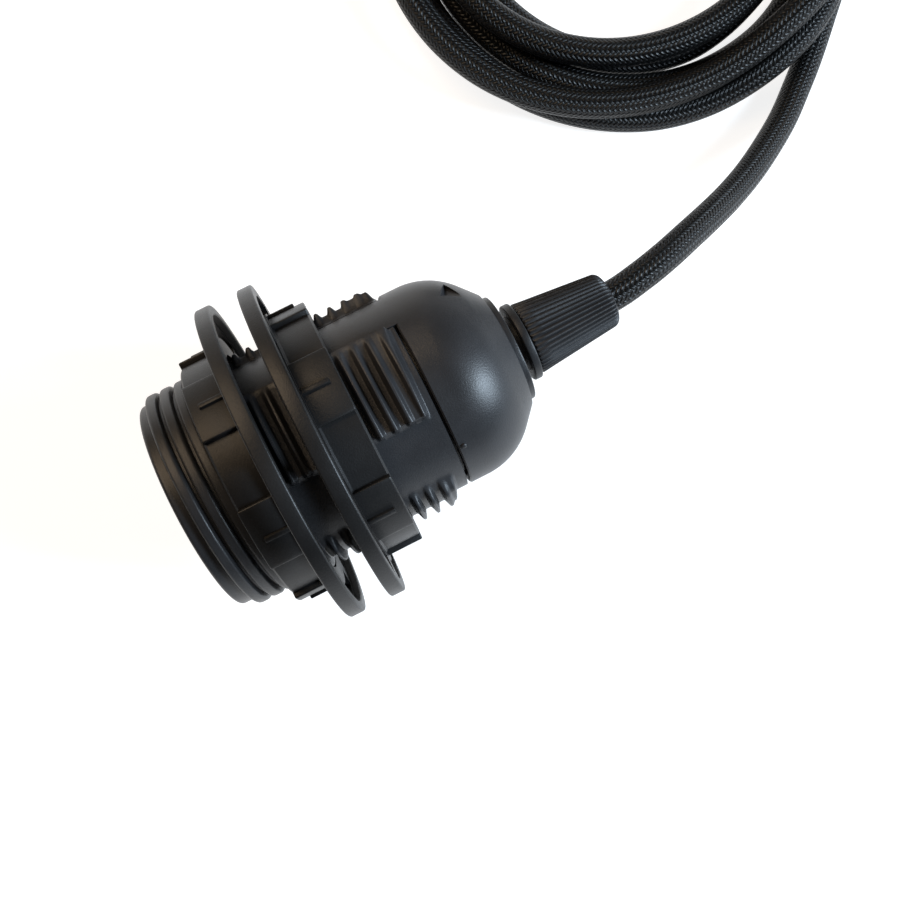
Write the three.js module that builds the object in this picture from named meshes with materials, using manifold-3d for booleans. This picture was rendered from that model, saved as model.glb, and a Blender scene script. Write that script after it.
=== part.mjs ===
// Pendant cord set: a screw lampholder with two shade rings, its cord grip and its cord.
// Millimetres. The holder lies on the rims of its two shade rings: +X runs along its axis from the
// mouth to the cord grip, and +Z is up. Places along the axis are measured from the mouth.
import * as THREE from 'three';
import { mergeVertices } from 'three/addons/utils/BufferGeometryUtils.js';
import Module from 'manifold-3d';

// Shared clearances
const FIT = 0.3;
const SEAM = 0.5;
// How far joined shapes reach into each other, and how far a cut runs past its body
const WELD = 0.9;
const PAST = 1;

// Outer shell with its thread for the shade rings
const SKIRT_LENGTH = 42.4;
const SKIRT_RADIUS = 17.5;
const THREAD_RADIUS = 19.6;
const THREAD_DEPTH = 1.2;
const THREAD_PITCH = 2.5;
const THREAD_CREST = 1;
const THREAD_FLANK = 0.45;
const LIP_LENGTH = 1.85;
const LIP_ROUND = 0.6;
const FULL_TURNS = 3;
const SEGMENT_TURNS = 13;
const SEGMENT_COUNT = 4;
const SEGMENT_WIDTH = 54;
const SEGMENT_TURN = -7.5;
const SKIRT_BORE = 14.6;
const REAR_BORE = 15.4;
const REAR_BORE_DEPTH = 15.4;

// Dome
const DOME_LENGTH = 16.4;
const DOME_WALL = 1.8;
const DOME_STRAIGHT = 3.4;
const DOME_ROUND = 12.4;
const DOME_SLOPE = 48;
const DOME_STEPS = 7;
const COLLAR_RADIUS = 9.5;
const COLLAR_LENGTH = 1.2;
const SPIGOT_LENGTH = 3.4;
const SPIGOT_WALL = 1.4;
const TONGUE_LENGTH = 14;
const TONGUE_WIDTH = 31;
const TONGUE_TURN = -52.5;
const TONGUE_THICKNESS = 1.8;

// Shade rings
const FLANGE_RADIUS = 28.5;
const FLANGE_LENGTH = 2.6;
const RIM_WALL = 1.8;
const WEB_LENGTH = 1.3;
const HUB_LENGTH = 6.4;
const HUB_WALL = 1.3;
const FACET_DEPTH = 1;
const HUB_PADS = 6;
const PAD_WIDTH = 30;
const GRIP_RIB_HEIGHT = 0.6;
const GRIP_RIB_WIDTH = 0.9;
const GRIP_RIB_SHORT = 1.7;
const VENT_WIDTH = 52;
const VENT_MARGIN = 0.3;
const FRONT_RING_AT = 17.2;
const RING_GAP = 5.4;
const FRONT_RING_TURN = 28;
const REAR_RING_TURN = 43;

// Contact carrier, lamp shell and contacts
const CARRIER_LENGTH = 4;
const BOSS_RADIUS = 8.5;
const BOSS_LENGTH = 3;
const SHELL_RADIUS = 14.1;
const SHELL_WALL = 0.4;
const SHELL_LENGTH = 17.2;
const SHELL_THREAD_DEPTH = 0.7;
const SHELL_THREAD_PITCH = 3.6;
const SHELL_TURNS = 4;
const STRIP_THICKNESS = 0.5;
const STRIP_WIDTH = 5;
const STRIP_LIFT = 3;
const STRIP_BEND = 2.5;
const STRIP_END = 5;
const RIVET_RADIUS = 1.2;
const RIVET_HEAD_RADIUS = 2;
const RIVET_HEAD_TOP = 1.6;
const RIVET_HEAD_LENGTH = 0.7;
const LINE_RIVET_Y = 5.5;
const NEUTRAL_RIVET_Y = -11.3;

// Terminals
const TERMINAL_LENGTH = 6.5;
const TERMINAL_WIDTH = 5.4;
const TERMINAL_HEIGHT = 6;
const NEUTRAL_TERMINAL_Y = -9.2;
const TERMINAL_WALL = 1.2;
const WIRE_HOLE_RADIUS = 1.1;
const WIRE_HOLE_DEPTH = 4.9;
const SCREW_RADIUS = 1.2;
const SCREW_HEAD_RADIUS = 2;
const SCREW_HEAD_HEIGHT = 1.5;
const SCREW_SLOT = 0.6;

// Cord grip
const NECK = 1.4;
const STEM_RADIUS = 5;
const STEM_LENGTH = 5.2;
const GRIP_FLANGE_RADIUS = 6.95;
const GRIP_FLANGE_LENGTH = 1.4;
const JAW_RADIUS = 4.3;
const JAW_LENGTH = 8.6;
const JAW_ROOT = 2;
const JAW_SLIT = 0.8;
const JAW_SLITS = 4;
const NUT_LENGTH = 15.8;
const NUT_RADIUS = 6.4;
const NUT_END_RADIUS = 4.95;
const NUT_END_ROUND = 1.3;
const FLUTES = 36;
const FLUTE_DEPTH = 0.35;

// Cord, its coil and its free end
const CORD_DIAMETER = 5.5;
const CORD_SIDES = 10;
const CORD_STEP = 11;
const JACKET_INSIDE = 25.2;
const CORE_RADIUS = 1.1;
const CORE_SIDES = 8;
const CORE_STEP = 2;
const CONDUCTOR_RADIUS = 0.7;
const COIL_X = 84.5;
const COIL_Y = 72;
const COIL_INNER = 30.5;
const COIL_OUTER = 48.5;
const COIL_HEIGHT = 11.5;
const TIE_THICKNESS = 1;
const TIE_WIDTH = 4;
const TIE_TURN = 150;
const SLEEVE_RADIUS = 3.2;
const SLEEVE_LENGTH = 14;
const END_CORE_LENGTH = 28;
const END_CORE_SPREAD = 2.6;
const END_CORE_OPENS = 0.35;
const END_CORE_FAN = 0.8;
const END_CORE_LIES = 0.7;
const FERRULE_RADIUS = 0.9;
const FERRULE_LENGTH = 8;
const FERRULE_COLLAR_RADIUS = 1.4;
const FERRULE_COLLAR_LENGTH = 2;
const FERRULE_FLARE = 0.5;

// Fineness of round work
const ROUND = 40;
const SHELL_ROUND = 24;
const SMALL_ROUND = 16;

// Places along the axis that follow from the sizes above
const DOME_AT = SKIRT_LENGTH + SEAM;
const COLLAR_FACE = DOME_AT + DOME_LENGTH;
const GRIP_FLANGE_AT = COLLAR_FACE + NECK;
const NUT_AT = GRIP_FLANGE_AT + GRIP_FLANGE_LENGTH + FIT;
const LENGTH = NUT_AT + NUT_LENGTH;
const AXIS_HEIGHT = FLANGE_RADIUS;
const FACET_RADIUS = THREAD_RADIUS + FIT + HUB_WALL;
const HUB_RADIUS = FACET_RADIUS + FACET_DEPTH;
const SHOULDER = SKIRT_LENGTH - REAR_BORE_DEPTH;
const CARRIER_AT = SHOULDER + FIT;
const CARRIER_BACK = CARRIER_AT + CARRIER_LENGTH;
const BOSS_FACE = CARRIER_AT - BOSS_LENGTH;
const SHELL_BASE_AT = CARRIER_AT - FIT - SHELL_WALL;
const TERMINAL_AT = CARRIER_BACK + FIT;
const TERMINAL_BACK = TERMINAL_AT + TERMINAL_LENGTH;
const CORD_RADIUS = CORD_DIAMETER / 2;
const CORD_BORE = CORD_RADIUS + FIT;
const JACKET_END = LENGTH - JACKET_INSIDE;

// The lead's route from inside the grip to the coil, and the tail's from the coil to its sleeve
const LEAD_ROUTE = [
  [JACKET_END - LENGTH / 2, 0, AXIS_HEIGHT], [LENGTH / 2, 0, AXIS_HEIGHT], [46, 0.9, 28.2],
  [52, 2.2, 26.7], [58, 3.8, 23.6], [65, 5.7, 19.2], [71.5, 7.7, 14.8], [78.5, 10.4, 10.6],
  [85.5, 13.8, 7], [92, 17.6, 4.4], [97.6, 21.9, 3.1],
];
const TAIL_ROUTE = [
  [119, 110.1, 3.1], [112, 117.3, 3.1], [104, 122.3, 3.1], [97, 124.4, 3.1], [92, 124.8, 3.1],
  [90, 124.8, 3.1],
];

const wasm = await Module();
wasm.setup();

// Solids

function solidOf(geometry) {
  const bare = geometry.clone();
  bare.deleteAttribute('normal');
  bare.deleteAttribute('uv');
  const merged = mergeVertices(bare, 1e-4);
  const vertProperties = new Float32Array(merged.attributes.position.array);
  const triVerts = new Uint32Array(merged.index.array);
  if (signedVolume(vertProperties, triVerts) < 0) triVerts.reverse();
  return new wasm.Manifold(new wasm.Mesh({ numProp: 3, vertProperties, triVerts }));
}

function signedVolume(points, triangles) {
  const [a, b, c] = [new THREE.Vector3(), new THREE.Vector3(), new THREE.Vector3()];
  let total = 0;
  for (let i = 0; i < triangles.length; i += 3) {
    a.fromArray(points, triangles[i] * 3);
    b.fromArray(points, triangles[i + 1] * 3);
    c.fromArray(points, triangles[i + 2] * 3);
    total += a.dot(b.cross(c));
  }
  return total;
}

function geometryOf(solid) {
  const mesh = solid.getMesh();
  const geometry = new THREE.BufferGeometry();
  geometry.setAttribute('position', new THREE.BufferAttribute(new Float32Array(mesh.vertProperties), 3));
  geometry.setIndex(new THREE.BufferAttribute(new Uint32Array(mesh.triVerts), 1));
  return geometry;
}

function unite(solids) {
  return solids.reduce((whole, next) => whole.add(next));
}

function cutAll(body, tools) {
  return body.subtract(unite(tools));
}

// A closed profile of [along, radius] points turned about the X axis.
// Angles about the axis run from +Z towards -Y.
function turned(profile, segments = ROUND) {
  const points = profile.map(([along, radius]) => new THREE.Vector2(radius, along));
  const first = points[0];
  const last = points[points.length - 1];
  if (first.x > 0 || last.x > 0) points.push(first.clone());
  return solidOf(new THREE.LatheGeometry(points, segments).rotateZ(-Math.PI / 2));
}

// The quarter round from the outside of a piece to its end face.
function roundedEnd(end, radius, round) {
  return [0, 30, 60, 90].map((degrees) => {
    const turn = THREE.MathUtils.degToRad(degrees);
    return [end - round + round * Math.sin(turn), radius - round + round * Math.cos(turn)];
  });
}

function rod(from, to, radius, segments = SMALL_ROUND) {
  return turned([[from, 0], [to, 0], [to, radius], [from, radius]], segments);
}

function at(angle, radius) {
  const turn = THREE.MathUtils.degToRad(angle);
  return new THREE.Vector2(-radius * Math.cos(turn), -radius * Math.sin(turn));
}

// An arc-shaped block between two radii, over an angle about the axis.
function sector(from, to, inner, outer, middle, width) {
  const steps = Math.max(2, Math.ceil(width / (360 / ROUND)));
  const angles = Array.from({ length: steps + 1 }, (_, i) => middle + width * (i / steps - 0.5));
  const outline = angles.map((angle) => at(angle, outer));
  outline.push(...angles.reverse().map((angle) => at(angle, inner)));
  const block = new THREE.ExtrudeGeometry(new THREE.Shape(outline), {
    depth: to - from, bevelEnabled: false,
  });
  return solidOf(block.rotateY(Math.PI / 2).translate(from, 0, 0));
}

function box(x0, x1, y0, y1, z0, z1) {
  const block = new THREE.BoxGeometry(x1 - x0, y1 - y0, z1 - z0);
  return solidOf(block.translate((x0 + x1) / 2, (y0 + y1) / 2, (z0 + z1) / 2));
}

function turnedBy(solid, angle) {
  return solid.rotate([angle, 0, 0]);
}

function upright(radius, x, y, z0, z1) {
  const pin = new THREE.CylinderGeometry(radius, radius, z1 - z0, SMALL_ROUND).rotateX(Math.PI / 2);
  return solidOf(pin.translate(x, y, (z0 + z1) / 2));
}

function routed(points, radius, sides, step) {
  const curve = new THREE.CatmullRomCurve3(points.map((p) => new THREE.Vector3(...p)));
  const steps = Math.ceil(curve.getLength() / step);
  const section = new THREE.Shape(Array.from({ length: sides }, (_, i) => {
    const turn = (i / sides) * Math.PI * 2;
    return new THREE.Vector2(radius * Math.cos(turn), radius * Math.sin(turn));
  }));
  return solidOf(new THREE.ExtrudeGeometry(section, { steps, extrudePath: curve, bevelEnabled: false }));
}

// Outer shell

function toothRow(start, turns, root) {
  const row = [];
  for (let i = 0; i < turns; i += 1) {
    const tooth = start + i * THREAD_PITCH;
    const crestEnd = tooth + THREAD_FLANK + THREAD_CREST;
    row.push([tooth, root], [tooth + THREAD_FLANK, THREAD_RADIUS]);
    row.push([crestEnd, THREAD_RADIUS], [crestEnd + THREAD_FLANK, root]);
  }
  return row;
}

function threadedSkirt() {
  const root = THREAD_RADIUS - THREAD_DEPTH;
  const collarEnd = LIP_LENGTH + FULL_TURNS * THREAD_PITCH;
  const lip = roundedEnd(0, root, LIP_ROUND).reverse().map(([x, r]) => [-x, r]);
  const shell = turned([
    [0, SKIRT_BORE], ...lip, ...toothRow(LIP_LENGTH, FULL_TURNS, root),
    [collarEnd, root], [collarEnd, SKIRT_RADIUS], [SKIRT_LENGTH, SKIRT_RADIUS],
    [SKIRT_LENGTH, REAR_BORE], [SHOULDER, REAR_BORE], [SHOULDER, SKIRT_BORE],
  ]);
  const teeth = toothRow(collarEnd, SEGMENT_TURNS, root);
  const inside = SKIRT_RADIUS - WELD;
  const threaded = turned([[teeth[0][0], inside], ...teeth, [teeth[teeth.length - 1][0], inside]]);
  const segments = [];
  for (let i = 0; i < SEGMENT_COUNT; i += 1) {
    const middle = SEGMENT_TURN + (i * 360) / SEGMENT_COUNT;
    segments.push(sector(0, SKIRT_LENGTH, SKIRT_BORE, THREAD_RADIUS + FIT, middle, SEGMENT_WIDTH));
  }
  const whole = shell.add(threaded.intersect(unite(segments)));
  return cutAll(whole, tongues(SKIRT_LENGTH - TONGUE_LENGTH - FIT, SKIRT_LENGTH + PAST, FIT));
}

// Dome

function tongues(from, to, clearance) {
  const inner = SKIRT_RADIUS - TONGUE_THICKNESS - 2 * clearance;
  const outer = SKIRT_RADIUS + clearance;
  const width = TONGUE_WIDTH + 2 * THREE.MathUtils.radToDeg(clearance / inner);
  const turns = [TONGUE_TURN, TONGUE_TURN + 180];
  return turns.map((turn) => sector(from, to, inner, outer, turn, width));
}

// The dome's side, or its inside when it is moved in by a depth: an arc that runs on as a cone.
function domeOutline(depth, to) {
  const slope = THREE.MathUtils.degToRad(DOME_SLOPE);
  const round = DOME_ROUND - depth;
  const outline = [];
  for (let i = 0; i <= DOME_STEPS; i += 1) {
    const turn = (slope * i) / DOME_STEPS;
    outline.push([DOME_AT + DOME_STRAIGHT + round * Math.sin(turn),
      SKIRT_RADIUS - DOME_ROUND + round * Math.cos(turn)]);
  }
  const [along, radius] = outline[DOME_STEPS];
  outline.push([to, radius - (to - along) * Math.tan(slope)]);
  return outline;
}

function domeCap() {
  const crownEnd = COLLAR_FACE - COLLAR_LENGTH;
  const bore = STEM_RADIUS + FIT;
  const spigot = REAR_BORE - FIT;
  const inner = spigot - SPIGOT_WALL;
  const inside = domeOutline(DOME_WALL, crownEnd - DOME_WALL);
  const cap = turned([
    [DOME_AT - SPIGOT_LENGTH, inner], [DOME_AT - SPIGOT_LENGTH, spigot],
    [DOME_AT, spigot], [DOME_AT, SKIRT_RADIUS], ...domeOutline(0, crownEnd),
    [crownEnd, COLLAR_RADIUS], [COLLAR_FACE, COLLAR_RADIUS], [COLLAR_FACE, bore],
    [crownEnd - DOME_WALL, bore],
    ...inside.reverse().map(([along, radius]) => [along, Math.min(radius, inner)]),
  ]);
  return cap.add(unite(tongues(SKIRT_LENGTH - TONGUE_LENGTH, DOME_AT + DOME_STRAIGHT, 0)));
}

// Shade rings

function shadeRing(turn) {
  const bore = THREAD_RADIUS + FIT;
  const flangeAt = HUB_LENGTH;
  const end = HUB_LENGTH + FLANGE_LENGTH;
  const webEnd = flangeAt + WEB_LENGTH;
  const parts = [turned([
    [0, bore], [webEnd, bore], [webEnd, FLANGE_RADIUS - RIM_WALL], [end, FLANGE_RADIUS - RIM_WALL],
    [end, FLANGE_RADIUS], [flangeAt, FLANGE_RADIUS], [flangeAt, FACET_RADIUS], [0, FACET_RADIUS],
  ])];
  const vents = [];
  const ribTop = HUB_RADIUS + GRIP_RIB_HEIGHT;
  const half = GRIP_RIB_WIDTH / 2;
  for (let i = 0; i < HUB_PADS; i += 1) {
    const middle = turn + (i * 360) / HUB_PADS;
    parts.push(sector(0, webEnd, bore, HUB_RADIUS, middle, PAD_WIDTH));
    parts.push(turnedBy(box(GRIP_RIB_SHORT, webEnd, -half, half, FACET_RADIUS, ribTop), middle));
    vents.push(sector(flangeAt - PAST, webEnd + PAST, HUB_RADIUS + GRIP_RIB_HEIGHT + FIT,
      FLANGE_RADIUS - RIM_WALL - VENT_MARGIN, middle, VENT_WIDTH));
  }
  return cutAll(unite(parts), vents);
}

function frontRing() {
  return shadeRing(FRONT_RING_TURN).translate([FRONT_RING_AT - HUB_LENGTH - FLANGE_LENGTH, 0, 0]);
}

function rearRing() {
  const back = FRONT_RING_AT + RING_GAP + FLANGE_LENGTH + HUB_LENGTH;
  return shadeRing(180 - REAR_RING_TURN).rotate([0, 180, 0]).translate([back, 0, 0]);
}

// Contact carrier and lamp contacts

function rivetHole(y) {
  return rod(BOSS_FACE - PAST, CARRIER_BACK + PAST, RIVET_RADIUS + FIT).translate([0, y, 0]);
}

function contactCarrier() {
  const plate = rod(CARRIER_AT, CARRIER_BACK, REAR_BORE - FIT, ROUND);
  const boss = rod(BOSS_FACE, CARRIER_AT + WELD, BOSS_RADIUS, ROUND);
  const middle = (LINE_RIVET_Y + NEUTRAL_TERMINAL_Y) / 2;
  const wall = box(CARRIER_BACK - WELD, TERMINAL_BACK, middle - TERMINAL_WALL / 2,
    middle + TERMINAL_WALL / 2, -TERMINAL_HEIGHT, TERMINAL_HEIGHT);
  return cutAll(unite([plate, boss, wall]), [rivetHole(LINE_RIVET_Y), rivetHole(NEUTRAL_RIVET_Y)]);
}

function screwShell() {
  const front = SHELL_BASE_AT - SHELL_LENGTH;
  const groove = SHELL_THREAD_PITCH / 2;
  const wave = [];
  for (let i = 0; i < SHELL_TURNS * 2; i += 1) {
    wave.push([front + groove * (i + 1), i % 2 === 0 ? SHELL_THREAD_DEPTH : 0]);
  }
  const outside = wave.map(([along, depth]) => [along, SHELL_RADIUS - depth]);
  const inside = wave.map(([along, depth]) => [along, SHELL_RADIUS - SHELL_WALL - depth]);
  return turned([
    [front, SHELL_RADIUS - SHELL_WALL], [front, SHELL_RADIUS], ...outside,
    [SHELL_BASE_AT, SHELL_RADIUS], [SHELL_BASE_AT, SHELL_RADIUS - SHELL_WALL], ...inside.reverse(),
  ], SHELL_ROUND);
}

// The flat ring that the lamp shell stands on, and that its rivet holds to the carrier.
function shellBase() {
  const back = SHELL_BASE_AT + SHELL_WALL;
  const ring = turned([
    [SHELL_BASE_AT, BOSS_RADIUS + FIT], [back, BOSS_RADIUS + FIT], [back, SHELL_RADIUS],
    [SHELL_BASE_AT, SHELL_RADIUS],
  ], SHELL_ROUND);
  return ring.subtract(rivetHole(NEUTRAL_RIVET_Y));
}

function centreContact() {
  const back = BOSS_FACE - FIT;
  const half = STRIP_WIDTH / 2;
  const line = [[back, LINE_RIVET_Y + half], [back, STRIP_BEND], [back - STRIP_LIFT, -STRIP_BEND],
    [back - STRIP_LIFT, -STRIP_END]];
  const frontSide = line.map(([x, y]) => [x - STRIP_THICKNESS, y]).reverse();
  const outline = new THREE.Shape([...line, ...frontSide].map(([x, y]) => new THREE.Vector2(x, y)));
  const strip = new THREE.ExtrudeGeometry(outline, { depth: STRIP_WIDTH, bevelEnabled: false });
  return solidOf(strip.translate(0, 0, -half)).subtract(rivetHole(LINE_RIVET_Y));
}

function rivet(front, y) {
  const back = CARRIER_BACK;
  return turned([
    [front - RIVET_HEAD_LENGTH, 0], [back, 0], [back, RIVET_RADIUS], [front, RIVET_RADIUS],
    [front, RIVET_HEAD_RADIUS], [front - RIVET_HEAD_LENGTH, RIVET_HEAD_TOP],
  ], SMALL_ROUND).translate([0, y, 0]);
}

// Terminals: a brass block behind the carrier, its clamping screw and the wire in it

function terminal(y) {
  const half = TERMINAL_WIDTH / 2;
  const middle = TERMINAL_AT + TERMINAL_LENGTH / 2;
  const block = box(TERMINAL_AT, TERMINAL_BACK, y - half, y + half, -TERMINAL_HEIGHT / 2,
    TERMINAL_HEIGHT / 2);
  const wireHole = rod(TERMINAL_BACK - WIRE_HOLE_DEPTH, TERMINAL_BACK + PAST, WIRE_HOLE_RADIUS);
  const screwHole = upright(SCREW_RADIUS + FIT, middle, y, CONDUCTOR_RADIUS, TERMINAL_HEIGHT);
  return cutAll(block, [wireHole.translate([0, y, 0]), screwHole]);
}

function terminalScrew(y) {
  const middle = TERMINAL_AT + TERMINAL_LENGTH / 2;
  const seat = TERMINAL_HEIGHT / 2 + FIT;
  const top = seat + SCREW_HEAD_HEIGHT;
  const shank = upright(SCREW_RADIUS, middle, y, CONDUCTOR_RADIUS + FIT, seat + FIT);
  const head = upright(SCREW_HEAD_RADIUS, middle, y, seat, top);
  const reach = SCREW_HEAD_RADIUS + PAST;
  const slot = box(middle - reach, middle + reach, y - SCREW_SLOT / 2, y + SCREW_SLOT / 2,
    top - SCREW_HEAD_HEIGHT / 2, top + PAST);
  return shank.add(head).subtract(slot);
}

function conductor(y) {
  const from = TERMINAL_BACK - WIRE_HOLE_DEPTH + FIT;
  return rod(from, TERMINAL_BACK + FIT, CONDUCTOR_RADIUS).translate([0, y, 0]);
}

function innerCore(y) {
  const start = [JACKET_END - 2 * FIT, Math.sign(y) * (CORE_RADIUS + FIT / 2), 0];
  const end = [TERMINAL_BACK + 3 * FIT, y, 0];
  const fifth = (start[0] - end[0]) / 5;
  const route = [start, [start[0] - fifth / 2, start[1], 0],
    [start[0] - 2 * fifth, start[1] + (y - start[1]) / 4, 0],
    [end[0] + 2 * fifth, y - (y - start[1]) / 4, 0], [end[0] + fifth / 2, y, 0], end];
  return routed(route, CORE_RADIUS, CORE_SIDES, CORE_STEP);
}

// Cord grip

function gripBody() {
  const stemAt = COLLAR_FACE - STEM_LENGTH;
  const flangeEnd = GRIP_FLANGE_AT + GRIP_FLANGE_LENGTH;
  const jawEnd = flangeEnd + JAW_LENGTH;
  const body = turned([
    [stemAt, CORD_BORE], [stemAt, STEM_RADIUS], [GRIP_FLANGE_AT, STEM_RADIUS],
    [GRIP_FLANGE_AT, GRIP_FLANGE_RADIUS], [flangeEnd, GRIP_FLANGE_RADIUS], [flangeEnd, JAW_RADIUS],
    [jawEnd, JAW_RADIUS], [jawEnd, CORD_BORE],
  ]);
  const slits = [];
  for (let i = 0; i < JAW_SLITS; i += 1) {
    const slit = box(flangeEnd + JAW_ROOT, jawEnd + PAST, -JAW_SLIT / 2, JAW_SLIT / 2, 0,
      JAW_RADIUS + PAST);
    slits.push(turnedBy(slit, (i * 360) / JAW_SLITS));
  }
  return cutAll(body, slits);
}

function gripNut() {
  const roundAt = LENGTH - NUT_END_ROUND;
  const jawEnd = GRIP_FLANGE_AT + GRIP_FLANGE_LENGTH + JAW_LENGTH;
  const body = turned([
    [NUT_AT, JAW_RADIUS + FIT], [NUT_AT, NUT_RADIUS],
    ...roundedEnd(LENGTH, NUT_END_RADIUS, NUT_END_ROUND), [LENGTH, CORD_BORE],
    [jawEnd + FIT, CORD_BORE], [jawEnd + FIT, JAW_RADIUS + FIT],
  ], FLUTES);
  const taper = Math.atan2(NUT_RADIUS - NUT_END_RADIUS, roundAt - NUT_AT);
  const side = THREE.MathUtils.degToRad(90 / FLUTES) * NUT_RADIUS;
  const vee = new THREE.Shape([
    new THREE.Vector2(FLUTE_DEPTH, 0), new THREE.Vector2(-FLUTE_DEPTH, side * 2),
    new THREE.Vector2(-FLUTE_DEPTH, -side * 2),
  ]);
  const groove = new THREE.ExtrudeGeometry(vee, { depth: NUT_LENGTH, bevelEnabled: false });
  groove.rotateY(Math.PI / 2).rotateY(taper).translate(NUT_AT, 0, NUT_RADIUS);
  const flutes = [];
  for (let i = 0; i < FLUTES; i += 1) {
    flutes.push(turnedBy(solidOf(groove), (i * 360) / FLUTES));
  }
  return cutAll(body, flutes);
}

// Cord, coil, tie and free end, placed where they lie on the surface

function lead() {
  return routed(LEAD_ROUTE, CORD_RADIUS, CORD_SIDES, CORD_STEP);
}

function tail() {
  return routed(TAIL_ROUTE, CORD_RADIUS, CORD_SIDES, CORD_STEP);
}

function coilSpace(inner, outer, bottom, top) {
  const points = [[inner, bottom], [outer, bottom], [outer, top], [inner, top], [inner, bottom]];
  const ring = new THREE.LatheGeometry(points.map(([r, z]) => new THREE.Vector2(r, z)), ROUND);
  return solidOf(ring.rotateX(Math.PI / 2));
}

function tieBlock(margin, bottom, top, width) {
  const block = box(COIL_INNER - margin, COIL_OUTER + margin, -width / 2, width / 2, bottom, top);
  return block.rotate([0, 0, TIE_TURN]);
}

function coil() {
  const relief = tieBlock(PAST, -PAST, TIE_THICKNESS + FIT, TIE_WIDTH + 2 * FIT);
  return coilSpace(COIL_INNER, COIL_OUTER, 0, COIL_HEIGHT).subtract(relief)
    .translate([COIL_X, COIL_Y, 0]);
}

function coilTie() {
  const top = COIL_HEIGHT + FIT;
  const outer = tieBlock(FIT + TIE_THICKNESS, 0, top + TIE_THICKNESS, TIE_WIDTH);
  const inner = tieBlock(FIT, TIE_THICKNESS, top, TIE_WIDTH + 2 * PAST);
  return outer.subtract(inner).translate([COIL_X, COIL_Y, 0]);
}

function endSleeve() {
  const [x, y] = TAIL_ROUTE[TAIL_ROUTE.length - 1];
  return rod(x - FIT - SLEEVE_LENGTH, x - FIT, SLEEVE_RADIUS).translate([0, y, SLEEVE_RADIUS]);
}

function endPlace(side) {
  const [x, y] = TAIL_ROUTE[TAIL_ROUTE.length - 1];
  const start = side * (CORE_RADIUS + FIT / 2);
  return { x: x - SLEEVE_LENGTH - 2 * FIT, y, start, spread: side * END_CORE_SPREAD };
}

function endCore(side) {
  const { x, y, start, spread } = endPlace(side);
  const low = FERRULE_COLLAR_RADIUS;
  const route = [[x, y + start, SLEEVE_RADIUS],
    [x - END_CORE_LENGTH * END_CORE_OPENS, y + spread * END_CORE_FAN, low],
    [x - END_CORE_LENGTH * END_CORE_LIES, y + spread, low], [x - END_CORE_LENGTH, y + spread, low]];
  return routed(route, CORE_RADIUS, CORE_SIDES, CORE_STEP);
}

function endFerrule(side) {
  const { x, y, spread } = endPlace(side);
  const back = x - END_CORE_LENGTH - FIT;
  const neck = back - FERRULE_COLLAR_LENGTH;
  const tip = neck - FERRULE_LENGTH;
  return turned([
    [tip, 0], [back, 0], [back, FERRULE_COLLAR_RADIUS], [neck, FERRULE_COLLAR_RADIUS],
    [neck - FERRULE_FLARE, FERRULE_RADIUS], [tip, FERRULE_RADIUS],
  ], SMALL_ROUND).translate([0, y + spread, FERRULE_COLLAR_RADIUS]);
}

// Finishes and assembly

const FINISHES = {
  black_shell: { color: 0x232225, roughness: 0.45, metalness: 0 },
  black_ring: { color: 0x1f1d1e, roughness: 0.4, metalness: 0 },
  black_grip: { color: 0x1c1c1f, roughness: 0.5, metalness: 0 },
  carrier_white: { color: 0xd8d4c8, roughness: 0.6, metalness: 0 },
  shell_nickel: { color: 0xb9b6ac, roughness: 0.3, metalness: 1 },
  brass: { color: 0xc0a056, roughness: 0.3, metalness: 1 },
  steel: { color: 0xa9abad, roughness: 0.35, metalness: 1 },
  copper: { color: 0xb46a40, roughness: 0.35, metalness: 1 },
  brown_core: { color: 0x5a3220, roughness: 0.5, metalness: 0 },
  blue_core: { color: 0x1f4fa0, roughness: 0.5, metalness: 0 },
  black_braid: { color: 0x131214, roughness: 0.75, metalness: 0 },
  black_sleeve: { color: 0x161617, roughness: 0.5, metalness: 0 },
  tie_black: { color: 0x1b1b1c, roughness: 0.5, metalness: 0 },
  ferrule_tin: { color: 0xc4c6c8, roughness: 0.3, metalness: 1 },
};

const set = new THREE.Group();
const holder = new THREE.Group();
holder.position.set(-LENGTH / 2, 0, AXIS_HEIGHT);
set.add(holder);

function addTo(group, name, finish, solid) {
  const mesh = new THREE.Mesh(geometryOf(solid), new THREE.MeshStandardMaterial(FINISHES[finish]));
  mesh.name = name;
  group.add(mesh);
}

addTo(holder, 'threaded_skirt', 'black_shell', threadedSkirt());
addTo(holder, 'dome_cap', 'black_shell', domeCap());
addTo(holder, 'front_shade_ring', 'black_ring', frontRing());
addTo(holder, 'rear_shade_ring', 'black_ring', rearRing());
addTo(holder, 'contact_carrier', 'carrier_white', contactCarrier());
addTo(holder, 'screw_shell', 'shell_nickel', screwShell());
addTo(holder, 'shell_base', 'shell_nickel', shellBase());
addTo(holder, 'centre_contact', 'brass', centreContact());
addTo(holder, 'centre_rivet', 'brass', rivet(BOSS_FACE - 2 * FIT - STRIP_THICKNESS, LINE_RIVET_Y));
addTo(holder, 'shell_rivet', 'brass', rivet(SHELL_BASE_AT - FIT, NEUTRAL_RIVET_Y));
for (const [wire, y] of [['line', LINE_RIVET_Y], ['neutral', NEUTRAL_TERMINAL_Y]]) {
  addTo(holder, `${wire}_terminal`, 'brass', terminal(y));
  addTo(holder, `${wire}_terminal_screw`, 'steel', terminalScrew(y));
  addTo(holder, `${wire}_conductor`, 'copper', conductor(y));
  addTo(holder, `${wire}_core`, wire === 'line' ? 'brown_core' : 'blue_core', innerCore(y));
}
addTo(holder, 'grip_body', 'black_grip', gripBody());
addTo(holder, 'grip_nut', 'black_grip', gripNut());
addTo(set, 'cord', 'black_braid', lead());
addTo(set, 'cord_coil', 'black_braid', coil());
addTo(set, 'cord_tail', 'black_braid', tail());
addTo(set, 'coil_tie', 'tie_black', coilTie());
addTo(set, 'end_sleeve', 'black_sleeve', endSleeve());
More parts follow.
